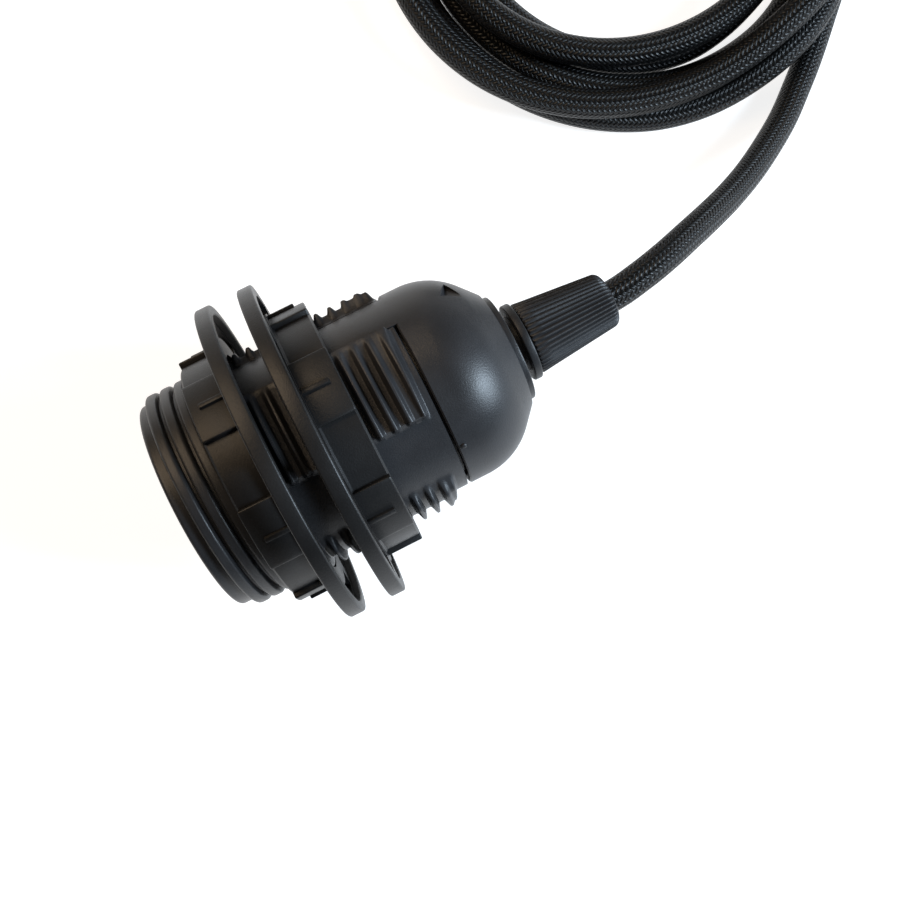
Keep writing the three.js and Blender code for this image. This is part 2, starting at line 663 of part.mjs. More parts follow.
for (const [wire, side] of [['line', 1], ['neutral', -1]]) {
  addTo(set, `end_${wire}_core`, wire === 'line' ? 'brown_core' : 'blue_core', endCore(side));
  addTo(set, `end_${wire}_ferrule`, 'ferrule_tin', endFerrule(side));
}

export default set;
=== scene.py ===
"""Pendant cord set: a black screw lampholder with two shade rings, its cord grip and its cord.

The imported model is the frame: the holder lies on the rims of its shade rings, +X runs from its
mouth to its cord grip, and +Z is up. Everything here is in metres. Pieces of the holder are
modelled round the X axis, with x measured from the mouth, and then put in their place.
"""
import logging
import math
from dataclasses import dataclass, field
from enum import Enum
from typing import Callable, Iterable, Optional, Sequence

import bpy
from mathutils import Matrix, Vector

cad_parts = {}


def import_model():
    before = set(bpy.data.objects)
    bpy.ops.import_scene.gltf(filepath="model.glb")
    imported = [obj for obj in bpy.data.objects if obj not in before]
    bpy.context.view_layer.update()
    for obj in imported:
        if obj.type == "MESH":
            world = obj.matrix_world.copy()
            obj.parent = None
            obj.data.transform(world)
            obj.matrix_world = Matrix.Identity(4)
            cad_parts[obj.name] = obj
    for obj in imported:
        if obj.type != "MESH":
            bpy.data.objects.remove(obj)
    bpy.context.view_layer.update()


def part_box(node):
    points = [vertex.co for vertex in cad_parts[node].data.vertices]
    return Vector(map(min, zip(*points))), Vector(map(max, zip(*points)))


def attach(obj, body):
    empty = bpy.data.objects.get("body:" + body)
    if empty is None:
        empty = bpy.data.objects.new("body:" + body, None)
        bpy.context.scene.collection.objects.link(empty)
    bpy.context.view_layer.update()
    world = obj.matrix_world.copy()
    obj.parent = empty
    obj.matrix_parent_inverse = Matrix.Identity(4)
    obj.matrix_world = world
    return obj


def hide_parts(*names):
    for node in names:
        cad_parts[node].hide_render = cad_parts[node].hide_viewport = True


LOG = logging.getLogger("pendant_cord_set")
MM = 0.001
FULL_TURN = 2 * math.pi
Point = tuple[float, float, float]
Profile = list[tuple[float, float]]


def smooth_step(value: float, start: float, end: float) -> float:
    """A smooth rise from 0 at start to 1 at end.

    Args:
        value: Where to read the rise.
        start: Where it begins.
        end: Where it is complete.

    Returns:
        A number from 0 to 1.
    """
    t = min(1.0, max(0.0, (value - start) / (end - start)))
    return t * t * (3 - 2 * t)


class Slot(Enum):
    """The record's material slots that new pieces take their finish from."""

    SHELL = "black_shell"
    RING = "black_ring"
    GRIP = "black_grip"
    CARRIER = "carrier_white"
    NICKEL = "shell_nickel"
    BRASS = "brass"
    BRAID = "black_braid"
    SLEEVE = "black_sleeve"
    TIE = "tie_black"
    BROWN = "brown_core"
    BLUE = "blue_core"
    FERRULE = "ferrule_tin"


class Graph:
    """Adds nodes to one node tree and links them."""

    def __init__(self, tree: bpy.types.NodeTree) -> None:
        """Keeps the tree that the calls add to."""
        self.tree = tree

    def node(self, kind: str, links: Optional[dict] = None, **values: object) -> bpy.types.Node:
        """Adds a node.

        Args:
            kind: Blender's name for the node type.
            links: Input names or numbers, each with a socket to link or a plain value to set.
            **values: Properties of the node itself.

        Returns:
            The new node.
        """
        made = self.tree.nodes.new(kind)
        for name, value in values.items():
            setattr(made, name, value)
        for name, source in (links or {}).items():
            if isinstance(source, bpy.types.NodeSocket):
                self.tree.links.new(source, made.inputs[name])
            else:
                made.inputs[name].default_value = source
        return made

    def math(self, operation: str, *terms: object) -> bpy.types.NodeSocket:
        """Adds a Math node and returns its output.

        Args:
            operation: The operation's name.
            *terms: Its sockets or numbers in order.

        Returns:
            The output socket.
        """
        return self.node("ShaderNodeMath", dict(enumerate(terms)), operation=operation).outputs[0]

    def mix(self, factor: object, low: object, high: object) -> bpy.types.NodeSocket:
        """Mixes two colours and returns the output.

        Args:
            factor: Socket or number from 0 to 1.
            low: The colour at 0.
            high: The colour at 1.

        Returns:
            The mixed colour's socket.
        """
        made = self.node("ShaderNodeMix", {"Factor": factor}, data_type="RGBA")
        # The node's colour sockets are its inputs 6 and 7 and its output 2.
        for index, colour in ((6, low), (7, high)):
            if isinstance(colour, bpy.types.NodeSocket):
                self.tree.links.new(colour, made.inputs[index])
            else:
                made.inputs[index].default_value = colour
        return made.outputs[2]

    def ramp(self, value: object, low: float, high: float) -> bpy.types.NodeSocket:
        """Maps low..high to 0..1, clamped.

        Args:
            value: The socket to map.
            low: The value that becomes 0.
            high: The value that becomes 1.

        Returns:
            The mapped socket.
        """
        links = {"Value": value, "From Min": low, "From Max": high}
        return self.node("ShaderNodeMapRange", links).outputs[0]


def new_group(name: str, inputs: Sequence[tuple], outputs: Sequence[tuple]) -> tuple:
    """Starts a shader node group.

    Args:
        name: The group's name.
        inputs: Pairs of socket name and default value, or of name and None for a vector.
        outputs: Names of its value outputs.

    Returns:
        The group, its graph, its input node and its output node.
    """
    tree = bpy.data.node_groups.new(name, "ShaderNodeTree")
    for label, default in inputs:
        kind = "NodeSocketVector" if default is None else "NodeSocketFloat"
        socket = tree.interface.new_socket(label, in_out="INPUT", socket_type=kind)
        if default is not None:
            socket.default_value = default
    for label in outputs:
        tree.interface.new_socket(label, in_out="OUTPUT", socket_type="NodeSocketFloat")
    graph = Graph(tree)
    return tree, graph, graph.node("NodeGroupInput"), graph.node("NodeGroupOutput")


def moulded_grain_group() -> bpy.types.NodeTree:
    """The fine grain, flow marks and dust of a moulded surface.

    Returns:
        A group with the outputs Grain, Cloud and Dust, each from 0 to 1.
    """
    tree, graph, start, end = new_group(
        "moulded_grain",
        [("Vector", None), ("Grain Scale", 3800.0), ("Cloud Scale", 90.0), ("Dust Scale", 420.0)],
        ["Grain", "Cloud", "Dust"],
    )
    place = start.outputs["Vector"]
    grain = graph.node("ShaderNodeTexNoise", {
        "Vector": place, "Scale": start.outputs["Grain Scale"], "Detail": 2.0, "Roughness": 0.6})
    cloud = graph.node("ShaderNodeTexNoise", {
        "Vector": place, "Scale": start.outputs["Cloud Scale"], "Detail": 4.0, "Roughness": 0.55})
    speck = graph.node("ShaderNodeTexVoronoi", {
        "Vector": place, "Scale": start.outputs["Dust Scale"], "Randomness": 1.0})
    chance = graph.ramp(speck.outputs["Color"], 0.955, 0.965)
    small = graph.ramp(speck.outputs["Distance"], 0.16, 0.06)
    results = {
        "Grain": grain.outputs[0],
        "Cloud": graph.ramp(cloud.outputs[0], 0.3, 0.7),
        "Dust": graph.math("MULTIPLY", chance, small),
    }
    for label, socket in results.items():
        tree.links.new(socket, end.inputs[label])
    return tree


def braid_group() -> bpy.types.NodeTree:
    """A regular braid, each strand over two and under two, on a UV map of (around, along).

    Returns:
        A group with the outputs Height and Strand, each from 0 to 1.
    """
    tree, graph, start, end = new_group(
        "braid", [("Vector", None), ("Strands", 16.0)], ["Height", "Strand"])
    parts = graph.node("ShaderNodeSeparateXYZ", {0: start.outputs["Vector"]})
    count = start.outputs["Strands"]
    around = graph.math("MULTIPLY", parts.outputs[0], count)
    along = graph.math("MULTIPLY", parts.outputs[1], count)
    right = graph.math("ADD", around, along)
    left = graph.math("SUBTRACT", around, along)
    sides = []
    for mine, other, shift in ((right, left, 0.0), (left, right, 2.0)):
        across = graph.math("FRACT", mine)
        lane = graph.math("FLOOR", mine)
        run = graph.math("ADD", graph.math("ADD", lane, other), -shift)
        run = graph.math("FLOORED_MODULO", run, 4.0)
        crown = graph.math("SINE", graph.math("MULTIPLY", run, math.pi / 2))
        crown = graph.math("MAXIMUM", crown, 0.0)
        bulge = graph.math("SINE", graph.math("MULTIPLY", across, math.pi))
        bulge = graph.math("POWER", graph.math("MAXIMUM", bulge, 0.0), 0.6)
        height = graph.math("MULTIPLY", bulge, graph.math("POWER", crown, 0.45))
        filament = graph.math("SINE", graph.math("MULTIPLY", across, 6 * math.pi))
        filament = graph.math("MULTIPLY", filament, 0.07)
        sides.append(graph.math("ADD", height, filament))
    tree.links.new(graph.math("MAXIMUM", sides[0], sides[1]), end.inputs["Height"])
    tree.links.new(graph.math("GREATER_THAN", sides[0], sides[1]), end.inputs["Strand"])
    return tree


class Groups:
    """The node groups that the finishes share, each built once."""

    def __init__(self) -> None:
        """Builds the groups."""
        self.grain = moulded_grain_group()
        self.braid = braid_group()


def new_material(name: str) -> tuple[bpy.types.Material, Graph, bpy.types.Node]:
    """Starts a material.

    Args:
        name: The material's name.

    Returns:
        The material, its graph and its Principled shader.
    """
    material = bpy.data.materials.new(name)
    material.use_nodes = True
    graph = Graph(material.node_tree)
    return material, graph, material.node_tree.nodes["Principled BSDF"]


def set_surface(graph: Graph, shader: bpy.types.Node, colour: object, rough: object,
                relief: dict) -> None:
    """Links a surface's colour, roughness and relief to its shader.

    Args:
        graph: The material's graph.
        shader: Its Principled shader.
        colour: The colour's socket.
        rough: The roughness's socket.
        relief: The Bump node's height, strength and distance.
    """
    bump = graph.node("ShaderNodeBump", relief)
    graph.tree.links.new(colour, shader.inputs["Base Color"])
    graph.tree.links.new(rough, shader.inputs["Roughness"])
    graph.tree.links.new(bump.outputs[0], shader.inputs["Normal"])


@dataclass(frozen=True)
class Moulded:
    """A moulded plastic, rubber or ceramic surface."""

    name: str
    colour: tuple[float, float, float]
    roughness: float
    grain_scale: float = 3800.0
    grain_depth: float = 0.00006
    dust: float = 0.4
    cloud: float = 0.25
    gloss: float = 0.3

    def build(self, groups: Groups) -> bpy.types.Material:
        """Makes the material.

        Args:
            groups: The shared node groups.

        Returns:
            The material.
        """
        material, graph, shader = new_material(self.name)
        place = graph.node("ShaderNodeTexCoord").outputs["Object"]
        grain = graph.node("ShaderNodeGroup", node_tree=groups.grain)
        grain.inputs["Grain Scale"].default_value = self.grain_scale
        graph.tree.links.new(place, grain.inputs["Vector"])
        dark = (*[c * (1 - self.cloud) for c in self.colour], 1)
        pale = (*[c * (1 + self.cloud) for c in self.colour], 1)
        body = graph.mix(grain.outputs["Cloud"], dark, pale)
        dust = graph.math("MULTIPLY", grain.outputs["Dust"], self.dust)
        colour = graph.mix(dust, body, (0.42, 0.41, 0.4, 1))
        uneven = graph.math("MULTIPLY_ADD", grain.outputs["Cloud"], 0.1, self.roughness - 0.05)
        rough = graph.math("MULTIPLY_ADD", grain.outputs["Grain"], 0.12, uneven)
        shader.inputs["Specular IOR Level"].default_value = self.gloss
        set_surface(graph, shader, colour, rough, {
            "Height": grain.outputs["Grain"], "Strength": 0.5, "Distance": self.grain_depth})
        return material


@dataclass(frozen=True)
class Metal:
    """A plated or bare metal surface with a fine grain and dull patches."""

    name: str
    colour: tuple[float, float, float]
    roughness: float
    mark_depth: float = 0.00001

    def build(self, groups: Groups) -> bpy.types.Material:
        """Makes the material.

        Args:
            groups: The shared node groups.

        Returns:
            The material.
        """
        material, graph, shader = new_material(self.name)
        place = graph.node("ShaderNodeTexCoord").outputs["Object"]
        grain = graph.node("ShaderNodeGroup", node_tree=groups.grain)
        graph.tree.links.new(place, grain.inputs["Vector"])
        dull = (*[c * 0.7 for c in self.colour], 1)
        colour = graph.mix(grain.outputs["Cloud"], dull, (*self.colour, 1))
        rough = graph.math("MULTIPLY_ADD", grain.outputs["Cloud"], 0.15, self.roughness)
        shader.inputs["Metallic"].default_value = 1.0
        set_surface(graph, shader, colour, rough, {
            "Height": grain.outputs["Grain"], "Strength": 0.3, "Distance": self.mark_depth})
        return material


@dataclass(frozen=True)
class Braided:
    """A tight textile braid on a cord's own UV map."""

    name: str
    colour: tuple[float, float, float]
    strands: float = 18.0
    strand_depth: float = 0.00022
    roughness: float = 0.3
    gloss: float = 0.25

    def build(self, groups: Groups) -> bpy.types.Material:
        """Makes the material.

        Args:
            groups: The shared node groups.

        Returns:
            The material.
        """
        material, graph, shader = new_material(self.name)
        place = graph.node("ShaderNodeUVMap", uv_map="braid").outputs[0]
        braid = graph.node("ShaderNodeGroup", node_tree=groups.braid)
        braid.inputs["Strands"].default_value = self.strands
        graph.tree.links.new(place, braid.inputs["Vector"])
        # Painted shade: the gaps between the strands are painted a quarter as bright as the yarn,
        # following the strands' height.
        low = (*[c * 0.25 for c in self.colour], 1)
        # Painted sheen: the strands that run one way are painted half again as bright as the
        # others, though all are the same black yarn.
        pale = graph.mix(braid.outputs["Strand"], (*self.colour, 1),
                         (*[c * 1.5 for c in self.colour], 1))
        lifted = graph.ramp(braid.outputs["Height"], 0.15, 0.95)
        colour = graph.mix(lifted, low, pale)
        rough = graph.math("MULTIPLY_ADD", lifted, -0.2, self.roughness + 0.2)
        shader.inputs["Specular IOR Level"].default_value = self.gloss
        set_surface(graph, shader, colour, rough, {
            "Height": braid.outputs["Height"], "Strength": 1.0, "Distance": self.strand_depth})
        return material


class Finishes:
    """Every finish of the set, by the record's slot."""

    def __init__(self) -> None:
        """Builds the materials."""
        groups = Groups()
        table = {
            Slot.SHELL: Moulded("satin_black_shell", (0.021, 0.021, 0.0225), 0.34),
            Slot.RING: Moulded("satin_black_ring", (0.009, 0.0086, 0.0086), 0.36),
            Slot.GRIP: Moulded("satin_black_grip", (0.014, 0.014, 0.015), 0.38),
            Slot.CARRIER: Moulded("white_insulator", (0.6, 0.57, 0.5), 0.55),
            Slot.NICKEL: Metal("nickel_plate", (0.62, 0.6, 0.54), 0.22),
            Slot.BRASS: Metal("bright_brass", (0.62, 0.43, 0.15), 0.25),
            Slot.BRAID: Braided("black_braid", (0.003, 0.003, 0.0031)),
            Slot.SLEEVE: Moulded("shrink_sleeve", (0.012, 0.012, 0.013), 0.5),
            Slot.TIE: Moulded("tie_plastic", (0.014, 0.014, 0.015), 0.4),
            Slot.BROWN: Moulded("brown_insulation", (0.11, 0.035, 0.015), 0.4),
            Slot.BLUE: Moulded("blue_insulation", (0.015, 0.08, 0.35), 0.4),
            Slot.FERRULE: Metal("tin_plate", (0.6, 0.61, 0.63), 0.3),
        }
        self.materials = {slot: finish.build(groups) for slot, finish in table.items()}
        self.steel = Metal("zinc_plate", (0.5, 0.51, 0.53), 0.3).build(groups)
        self.copper = Metal("bare_copper", (0.6, 0.26, 0.12), 0.35).build(groups)

    def dress(self, piece: bpy.types.Object, slot: Slot, *nodes: str) -> None:
        """Gives a finished piece its material, hangs it on the root body and hides the CAD nodes
        that it stands for.

        Args:
            piece: The piece.
            slot: The record's slot that it takes.
            *nodes: The CAD nodes that it stands for.
        """
        piece.data.materials.clear()
        piece.data.materials.append(self.materials[slot])
        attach(piece, "root")
        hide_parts(*nodes)
        LOG.info("%s: %d faces", piece.name, len(piece.data.polygons))

    def dress_cad(self) -> None:
        """Gives the CAD nodes that stay their procedural materials."""
        kept = {
            "centre_rivet": self.materials[Slot.BRASS],
            "shell_rivet": self.materials[Slot.BRASS],
            "line_terminal": self.materials[Slot.BRASS],
            "neutral_terminal": self.materials[Slot.BRASS],
            "line_terminal_screw": self.steel,
            "neutral_terminal_screw": self.steel,
            "line_conductor": self.copper,
            "neutral_conductor": self.copper,
            "line_core": self.materials[Slot.BROWN],
            "neutral_core": self.materials[Slot.BLUE],
        }
        for name, material in kept.items():
            for holder in bpy.data.objects[name].material_slots:
                holder.material = material


class Bench:
    """The modelling operations that the pieces share."""

    MERGE = 0.000002

    @staticmethod
    def deselect() -> None:
        """Leaves edit mode and deselects every object."""
        if bpy.context.object and bpy.context.object.mode != "OBJECT":
            bpy.ops.object.mode_set(mode="OBJECT")
        bpy.ops.object.select_all(action="DESELECT")

    @staticmethod
    def only(piece: bpy.types.Object) -> None:
        """Makes a piece the only selected one, and active."""
        Bench.deselect()
        piece.select_set(True)
        bpy.context.view_layer.objects.active = piece

    @staticmethod
    def loop(name: str, profile: Profile) -> bpy.types.Object:
        """A closed outline in the XZ plane, from a circle whose points are moved to it.

        Args:
            name: The new object's name.
            profile: Its (x, radius) points in order.

        Returns:
            The outline's object.
        """
        Bench.deselect()
        bpy.ops.mesh.primitive_circle_add(vertices=len(profile), radius=0.01)
        piece = bpy.context.object
        piece.name = name
        for vertex, (along, radius) in zip(piece.data.vertices, profile):
            vertex.co = (along, 0.0, radius)
        return piece

    @staticmethod
    def tidy(piece: bpy.types.Object) -> None:
        """Merges points that lie together and turns all faces outwards."""
        Bench.only(piece)
        bpy.ops.object.mode_set(mode="EDIT")
        bpy.ops.mesh.select_all(action="SELECT")
        bpy.ops.mesh.remove_doubles(threshold=Bench.MERGE)
        bpy.ops.mesh.normals_make_consistent(inside=False)
        bpy.ops.object.mode_set(mode="OBJECT")

    @staticmethod
    def spin(piece: bpy.types.Object, steps: int) -> None:
        """Turns an outline once round the X axis.

        Args:
            piece: The outline's object, which becomes the turned piece.
            steps: How many steps the turn has.
        """
        Bench.only(piece)
        bpy.ops.object.mode_set(mode="EDIT")
        bpy.ops.mesh.select_all(action="SELECT")
        bpy.ops.mesh.spin(steps=steps, angle=FULL_TURN, center=(0, 0, 0), axis=(1, 0, 0))
        bpy.ops.object.mode_set(mode="OBJECT")
        Bench.tidy(piece)

    @staticmethod
    def turned(name: str, profile: Profile, steps: int = 144) -> bpy.types.Object:
        """A solid turned from a closed profile.

        Args:
            name: The new object's name.
            profile: Its (x, radius) points in order; points on the axis have radius 0.
            steps: How many steps the turn has.

        Returns:
            The solid.
        """
        piece = Bench.loop(name, profile)
        Bench.spin(piece, steps)
        return piece

    @staticmethod
    def apply(piece: bpy.types.Object, kind: str, **values: object) -> None:
        """Adds a modifier and applies it.

        Args:
            piece: The piece.
            kind: The modifier's type.
            **values: Its properties.
        """
        Bench.only(piece)
        modifier = piece.modifiers.new(kind.lower(), kind)
        for name, value in values.items():
            setattr(modifier, name, value)
        bpy.ops.object.modifier_apply(modifier=modifier.name)

    @staticmethod
    def bevel(piece: bpy.types.Object, width: float, angle: float = 35.0,
              segments: int = 2) -> None:
        """Rounds a piece's sharp edges.

        Args:
            piece: The piece.
            width: The bevel's width.
            angle: The least angle, in degrees, that counts as an edge.
            segments: How many facets the bevel has.
        """
        Bench.apply(piece, "BEVEL", width=width, segments=segments, limit_method="ANGLE",
                    angle_limit=math.radians(angle), use_clamp_overlap=True)

    @staticmethod
    def smooth(piece: bpy.types.Object, angle: float = 40.0) -> None:
        """Shades a piece smooth except across edges sharper than an angle in degrees."""
        Bench.only(piece)
        bpy.ops.object.shade_smooth_by_angle(angle=math.radians(angle))

    @staticmethod
    def boolean(piece: bpy.types.Object, tool: bpy.types.Object, operation: str) -> None:
        """Cuts or joins a piece with a tool, which is used up.

        Args:
            piece: The piece.
            tool: The cutting or joining solid.
            operation: DIFFERENCE, UNION or INTERSECT.
        """
        Bench.apply(piece, "BOOLEAN", object=tool, operation=operation, solver="EXACT")
        bpy.data.objects.remove(tool, do_unlink=True)

    @staticmethod
    def join(pieces: Sequence[bpy.types.Object]) -> bpy.types.Object:
        """Joins pieces into the first one.

        Args:
            pieces: The pieces.

        Returns:
            The first piece.
        """
        Bench.deselect()
        for piece in pieces:
            piece.select_set(True)
        bpy.context.view_layer.objects.active = pieces[0]
        bpy.ops.object.join()
        return pieces[0]

    @staticmethod
    def copies(piece: bpy.types.Object, places: Iterable[Matrix]) -> list[bpy.types.Object]:
        """Copies a piece, each copy with its own mesh, and removes the original.

        Args:
            piece: The piece that is copied.
            places: Where the copies go.

        Returns:
            The copies.
        """
        made = []
        for place in places:
            copy = piece.copy()
            copy.data = piece.data.copy()
            copy.data.transform(place)
            bpy.context.scene.collection.objects.link(copy)
            made.append(copy)
        bpy.data.objects.remove(piece, do_unlink=True)
        return made

    @staticmethod
    def block(name: str, low: Sequence[float], high: Sequence[float]) -> bpy.types.Object:
        """A block between two corners, its place in its mesh.

        Args:
            name: The new object's name.
            low: Its lowest corner.
            high: Its highest corner.

        Returns:
            The block.
        """
        Bench.deselect()
        bpy.ops.mesh.primitive_cube_add(size=1)
        piece = bpy.context.object
        piece.name = name
        size = [h - l for l, h in zip(low, high)]
        middle = [(l + h) / 2 for l, h in zip(low, high)]
        scale = Matrix.Diagonal((*size, 1))
        piece.data.transform(Matrix.Translation(middle) @ scale)
        return piece

    @staticmethod
    def sector(name: str, span: tuple[float, float], radii: tuple[float, float],
               middle: float, width: float) -> bpy.types.Object:
        """An arc-shaped block about the X axis.

        Args:
            name: The new object's name.
            span: Where it starts and ends along x.
            radii: Its inner and outer radius.
            middle: The angle of its middle in degrees, from +Z towards -Y.
            width: Its width in degrees.

        Returns:
            The block.
        """
        (start, end), (inner, outer) = span, radii
        steps = max(4, round(width / 2))
        piece = Bench.loop(name, [(start, inner), (start, outer), (end, outer), (end, inner)])
        piece.data.transform(Matrix.Rotation(math.radians(middle - width / 2), 4, "X"))
        Bench.apply(piece, "SCREW", axis="X", angle=math.radians(width), screw_offset=0.0,
                    steps=steps, render_steps=steps, use_merge_vertices=False)
        Bench.cap(piece)
        return piece

    @staticmethod
    def cap(piece: bpy.types.Object) -> None:
        """Closes a swept piece's open ends and turns its faces outwards."""
        Bench.only(piece)
        bpy.ops.object.mode_set(mode="EDIT")
        bpy.ops.mesh.select_all(action="DESELECT")
        bpy.ops.mesh.select_mode(type="EDGE")
        bpy.ops.mesh.select_non_manifold()
        bpy.ops.mesh.fill_holes(sides=0)
        bpy.ops.mesh.select_all(action="SELECT")
        bpy.ops.mesh.normals_make_consistent(inside=False)
        bpy.ops.mesh.select_mode(type="VERT")
        bpy.ops.object.mode_set(mode="OBJECT")


def about_x(degrees: float) -> Matrix:
    """A turn about the X axis, from +Z towards -Y."""
    return Matrix.Rotation(math.radians(degrees), 4, "X")


def arc(centre: tuple[float, float], radius: float, start: float, end: float,
        steps: int) -> Profile:
    """Points of an arc in a profile.

    Args:
        centre: The arc's centre (x, radius).
        radius: Its radius.
        start: Its first angle in degrees, 0 along +x and 90 outwards.
        end: Its last angle in degrees.
        steps: How many steps it has.

    Returns:
        The points in order.
    """
    turns = [math.radians(start + (end - start) * i / steps) for i in range(steps + 1)]
    return [(centre[0] + radius * math.cos(t), centre[1] + radius * math.sin(t)) for t in turns]


@dataclass(frozen=True)
class Holder:
    """Where the lampholder lies: the place of its mouth and the height of its axis."""

    mouth: float
    height: float

    @classmethod
    def from_frame(cls) -> "Holder":
        """Reads the place of the threaded shell.

        Returns:
            The holder's place.
        """
        low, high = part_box("threaded_skirt")
        return cls(mouth=low[0], height=(low[2] + high[2]) / 2)

    def along(self, node: str) -> tuple[float, float]:
        """Where a node starts and ends, measured from the mouth."""
        low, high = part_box(node)
        return low[0] - self.mouth, high[0] - self.mouth

    def reach(self, node: str) -> float:
        """A round node's outer radius."""
        low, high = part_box(node)
        return (high[2] - low[2]) / 2

    def seat(self, piece: bpy.types.Object, slot: Slot, finishes: Finishes, *nodes: str) -> None:
        """Puts a piece that was modelled round the X axis in its place, and dresses it.

        Args:
            piece: The piece.
            slot: Its slot.
            finishes: The set's finishes.
            *nodes: The CAD nodes that it stands for.
        """
        piece.data.transform(Matrix.Translation((self.mouth, 0.0, self.height)))
        finishes.dress(piece, slot, *nodes)


@dataclass
class ThreadedShell:
    """The outer shell: a plain lip, three full thread turns, and four blocks with flat grooves."""

    holder: Holder
    finishes: Finishes
    body_radius: float = 17.5 * MM
    root_radius: float = 18.4 * MM
    pitch: float = 2.5 * MM
    lip_length: float = 1.85 * MM
    lip_round: float = 0.6 * MM
    lip_out: float = 0.25 * MM
    full_turns: int = 3
    first_crest: float = 2.8 * MM
    ridge_half: float = 1.02 * MM
    ridge_fade: float = 0.25
    ridge_square: int = 5
    blocks: int = 4
    block_turn: float = -7.5
    block_start: float = -28.0
    block_stop: float = 24.5
    block_edge: float = 1.6
    block_fade: float = 3.5
    block_slant: float = 0.0115 * MM
    block_end: float = 41.0 * MM
    end_before: float = 0.5 * MM
    end_after: float = 0.4 * MM
    groove_turn: float = 2.0
    groove_depth: float = 2.0 * MM
    groove_half: float = 1.1 * MM
    groove_flat: float = 0.35
    open_from: float = 45.0
    open_edge: float = 10.0
    open_depth: float = 1.5 * MM
    last_groove: int = 14
    last_depth: float = 0.4
    bore: float = 14.6 * MM
    rear_bore: float = 15.4 * MM
    rear_depth: float = 15.4 * MM
    tongue_width: float = 33.0
    tongue_turn: float = -52.5
    tongue_length: float = 14.3 * MM
    slant_room: float = 2.0 * MM
    seam_rate: float = 5.0
    steps: int = 240
    spacing: float = 0.125 * MM

    def body(self, length: float) -> bpy.types.Object:
        """The shell without its thread.

        Args:
            length: The shell's length.

        Returns:
            The turned body, with points close enough along it for the thread.
        """
        shoulder = length - self.rear_depth
        lip = arc((self.lip_round - self.lip_out, self.root_radius - self.lip_round),
                  self.lip_round, 180, 90, 5)
        count = round((length - self.lip_round) / self.spacing)
        wall = [(self.lip_round + i * (length - self.lip_round) / count, self.body_radius)
                for i in range(1, count)]
        return Bench.turned("threaded_shell", [
            (0.4 * MM, self.bore), (-self.lip_out, self.bore + 0.4 * MM), *lip, *wall,
            (length, self.body_radius - 0.25 * MM), (length, self.rear_bore),
            (shoulder, self.rear_bore), (shoulder, self.bore)], self.steps)

    def ridge(self, along: float, angle: float, crest: float) -> float:
        """The outer radius where the full turns run, fading in and out at the thread's ends.

        Args:
            along: The place from the mouth.
            angle: The angle about the axis, in degrees.
            crest: The crest's radius.

        Returns:
            The radius there.
        """
        turn = angle / 360
        nearest = round((along - self.first_crest) / self.pitch - turn)
        passed = turn + nearest + 0.5
        if not 0 < passed < self.full_turns:
            return self.root_radius
        away = abs(along - self.first_crest - self.pitch * (turn + nearest)) / self.ridge_half
        lift = math.sqrt(max(0.0, 1 - away ** self.ridge_square))
        fade = smooth_step(passed, 0.0, self.ridge_fade)
        return self.root_radius + (crest - self.root_radius) * lift * fade

    def block(self, along: float, angle: float, crest: float) -> float:
        """The outer radius behind the full turns.

        A block's grooves have flat floors, as a straight mould leaves them, so they run out
        towards its ends. The block at the side past open_from rises gently, its grooves open.

        Args:
            along: The place from the mouth.
            angle: The angle about the axis, in degrees.
            crest: The crest's radius.

        Returns:
            The radius there.
        """
        pitch = 360 / self.blocks
        across = (angle - self.block_turn + pitch / 2) % pitch - pitch / 2
        is_open = self.open_from < angle < self.open_from + pitch
        edge = self.open_edge if is_open else self.block_edge
        side = smooth_step(across, self.block_start, self.block_start + edge)
        side *= 1 - smooth_step(across, self.block_stop - self.block_fade, self.block_stop)
        stop = self.block_end - self.block_slant * (angle - self.block_turn)
        end = 1 - smooth_step(along, stop - self.end_before, stop + self.end_after)
        place = (along - self.first_crest) / self.pitch - angle / 360 - 0.5
        away = abs(place - round(place)) * self.pitch / self.groove_half
        shape = 1 - smooth_step(away, self.groove_flat, 1.0)
        floor = (crest - self.groove_depth) / math.cos(math.radians(across - self.groove_turn))
        if is_open:
            floor = crest - self.open_depth
        depth = max(0.0, crest - floor) * shape
        if round(place) >= self.last_groove:
            depth *= self.last_depth
        return self.body_radius + (crest - depth - self.body_radius) * side * end

    def slant(self, along: float, angle: float, length: float) -> float:
        """How far a point moves along, so that the mesh's rows follow the thread.

        Args:
            along: The place from the mouth.
            angle: The angle about the axis, in degrees.
            length: The shell's length.

        Returns:
            The move: nothing at the shell's ends, and nothing at the seam underneath.
        """
        turned = math.copysign(min(abs(angle), self.seam_rate * (180 - abs(angle))), angle)
        room = min(along - self.lip_round, length - along, self.slant_room) / self.slant_room
        return self.pitch * turned / 360 * max(0.0, room)

    def thread(self, shell: bpy.types.Object, length: float) -> None:
        """Moves the outer wall's points out to the thread.

        Args:
            shell: The turned body.
            length: The shell's length.
        """
        crest = self.holder.reach("threaded_skirt")
        collar = self.lip_length + self.full_turns * self.pitch
        for vertex in shell.data.vertices:
            along, y, z = vertex.co
            radius = math.hypot(y, z)
            if radius < self.body_radius - 0.1 * MM or along <= self.lip_round:
                continue
            angle = math.degrees(math.atan2(-y, z))
            along += self.slant(along, angle, length)
            relief = self.ridge if along < collar else self.block
            scale = relief(along, angle, crest) / radius
            vertex.co = (along, y * scale, z * scale)

    def build(self) -> bpy.types.Object:
        """Models the shell.

        Returns:
            The finished piece.
        """
        length = self.holder.along("threaded_skirt")[1]
        shell = self.body(length)
        self.thread(shell, length)
        for turn in (self.tongue_turn, self.tongue_turn + 180):
            notch = Bench.sector("notch", (length - self.tongue_length, length + 1 * MM),
                                 (self.rear_bore - 0.4 * MM, self.body_radius + 1 * MM),
                                 turn, self.tongue_width)
            Bench.boolean(shell, notch, "DIFFERENCE")
        Bench.smooth(shell, 50)
        self.holder.seat(shell, Slot.SHELL, self.finishes, "threaded_skirt")
        return shell


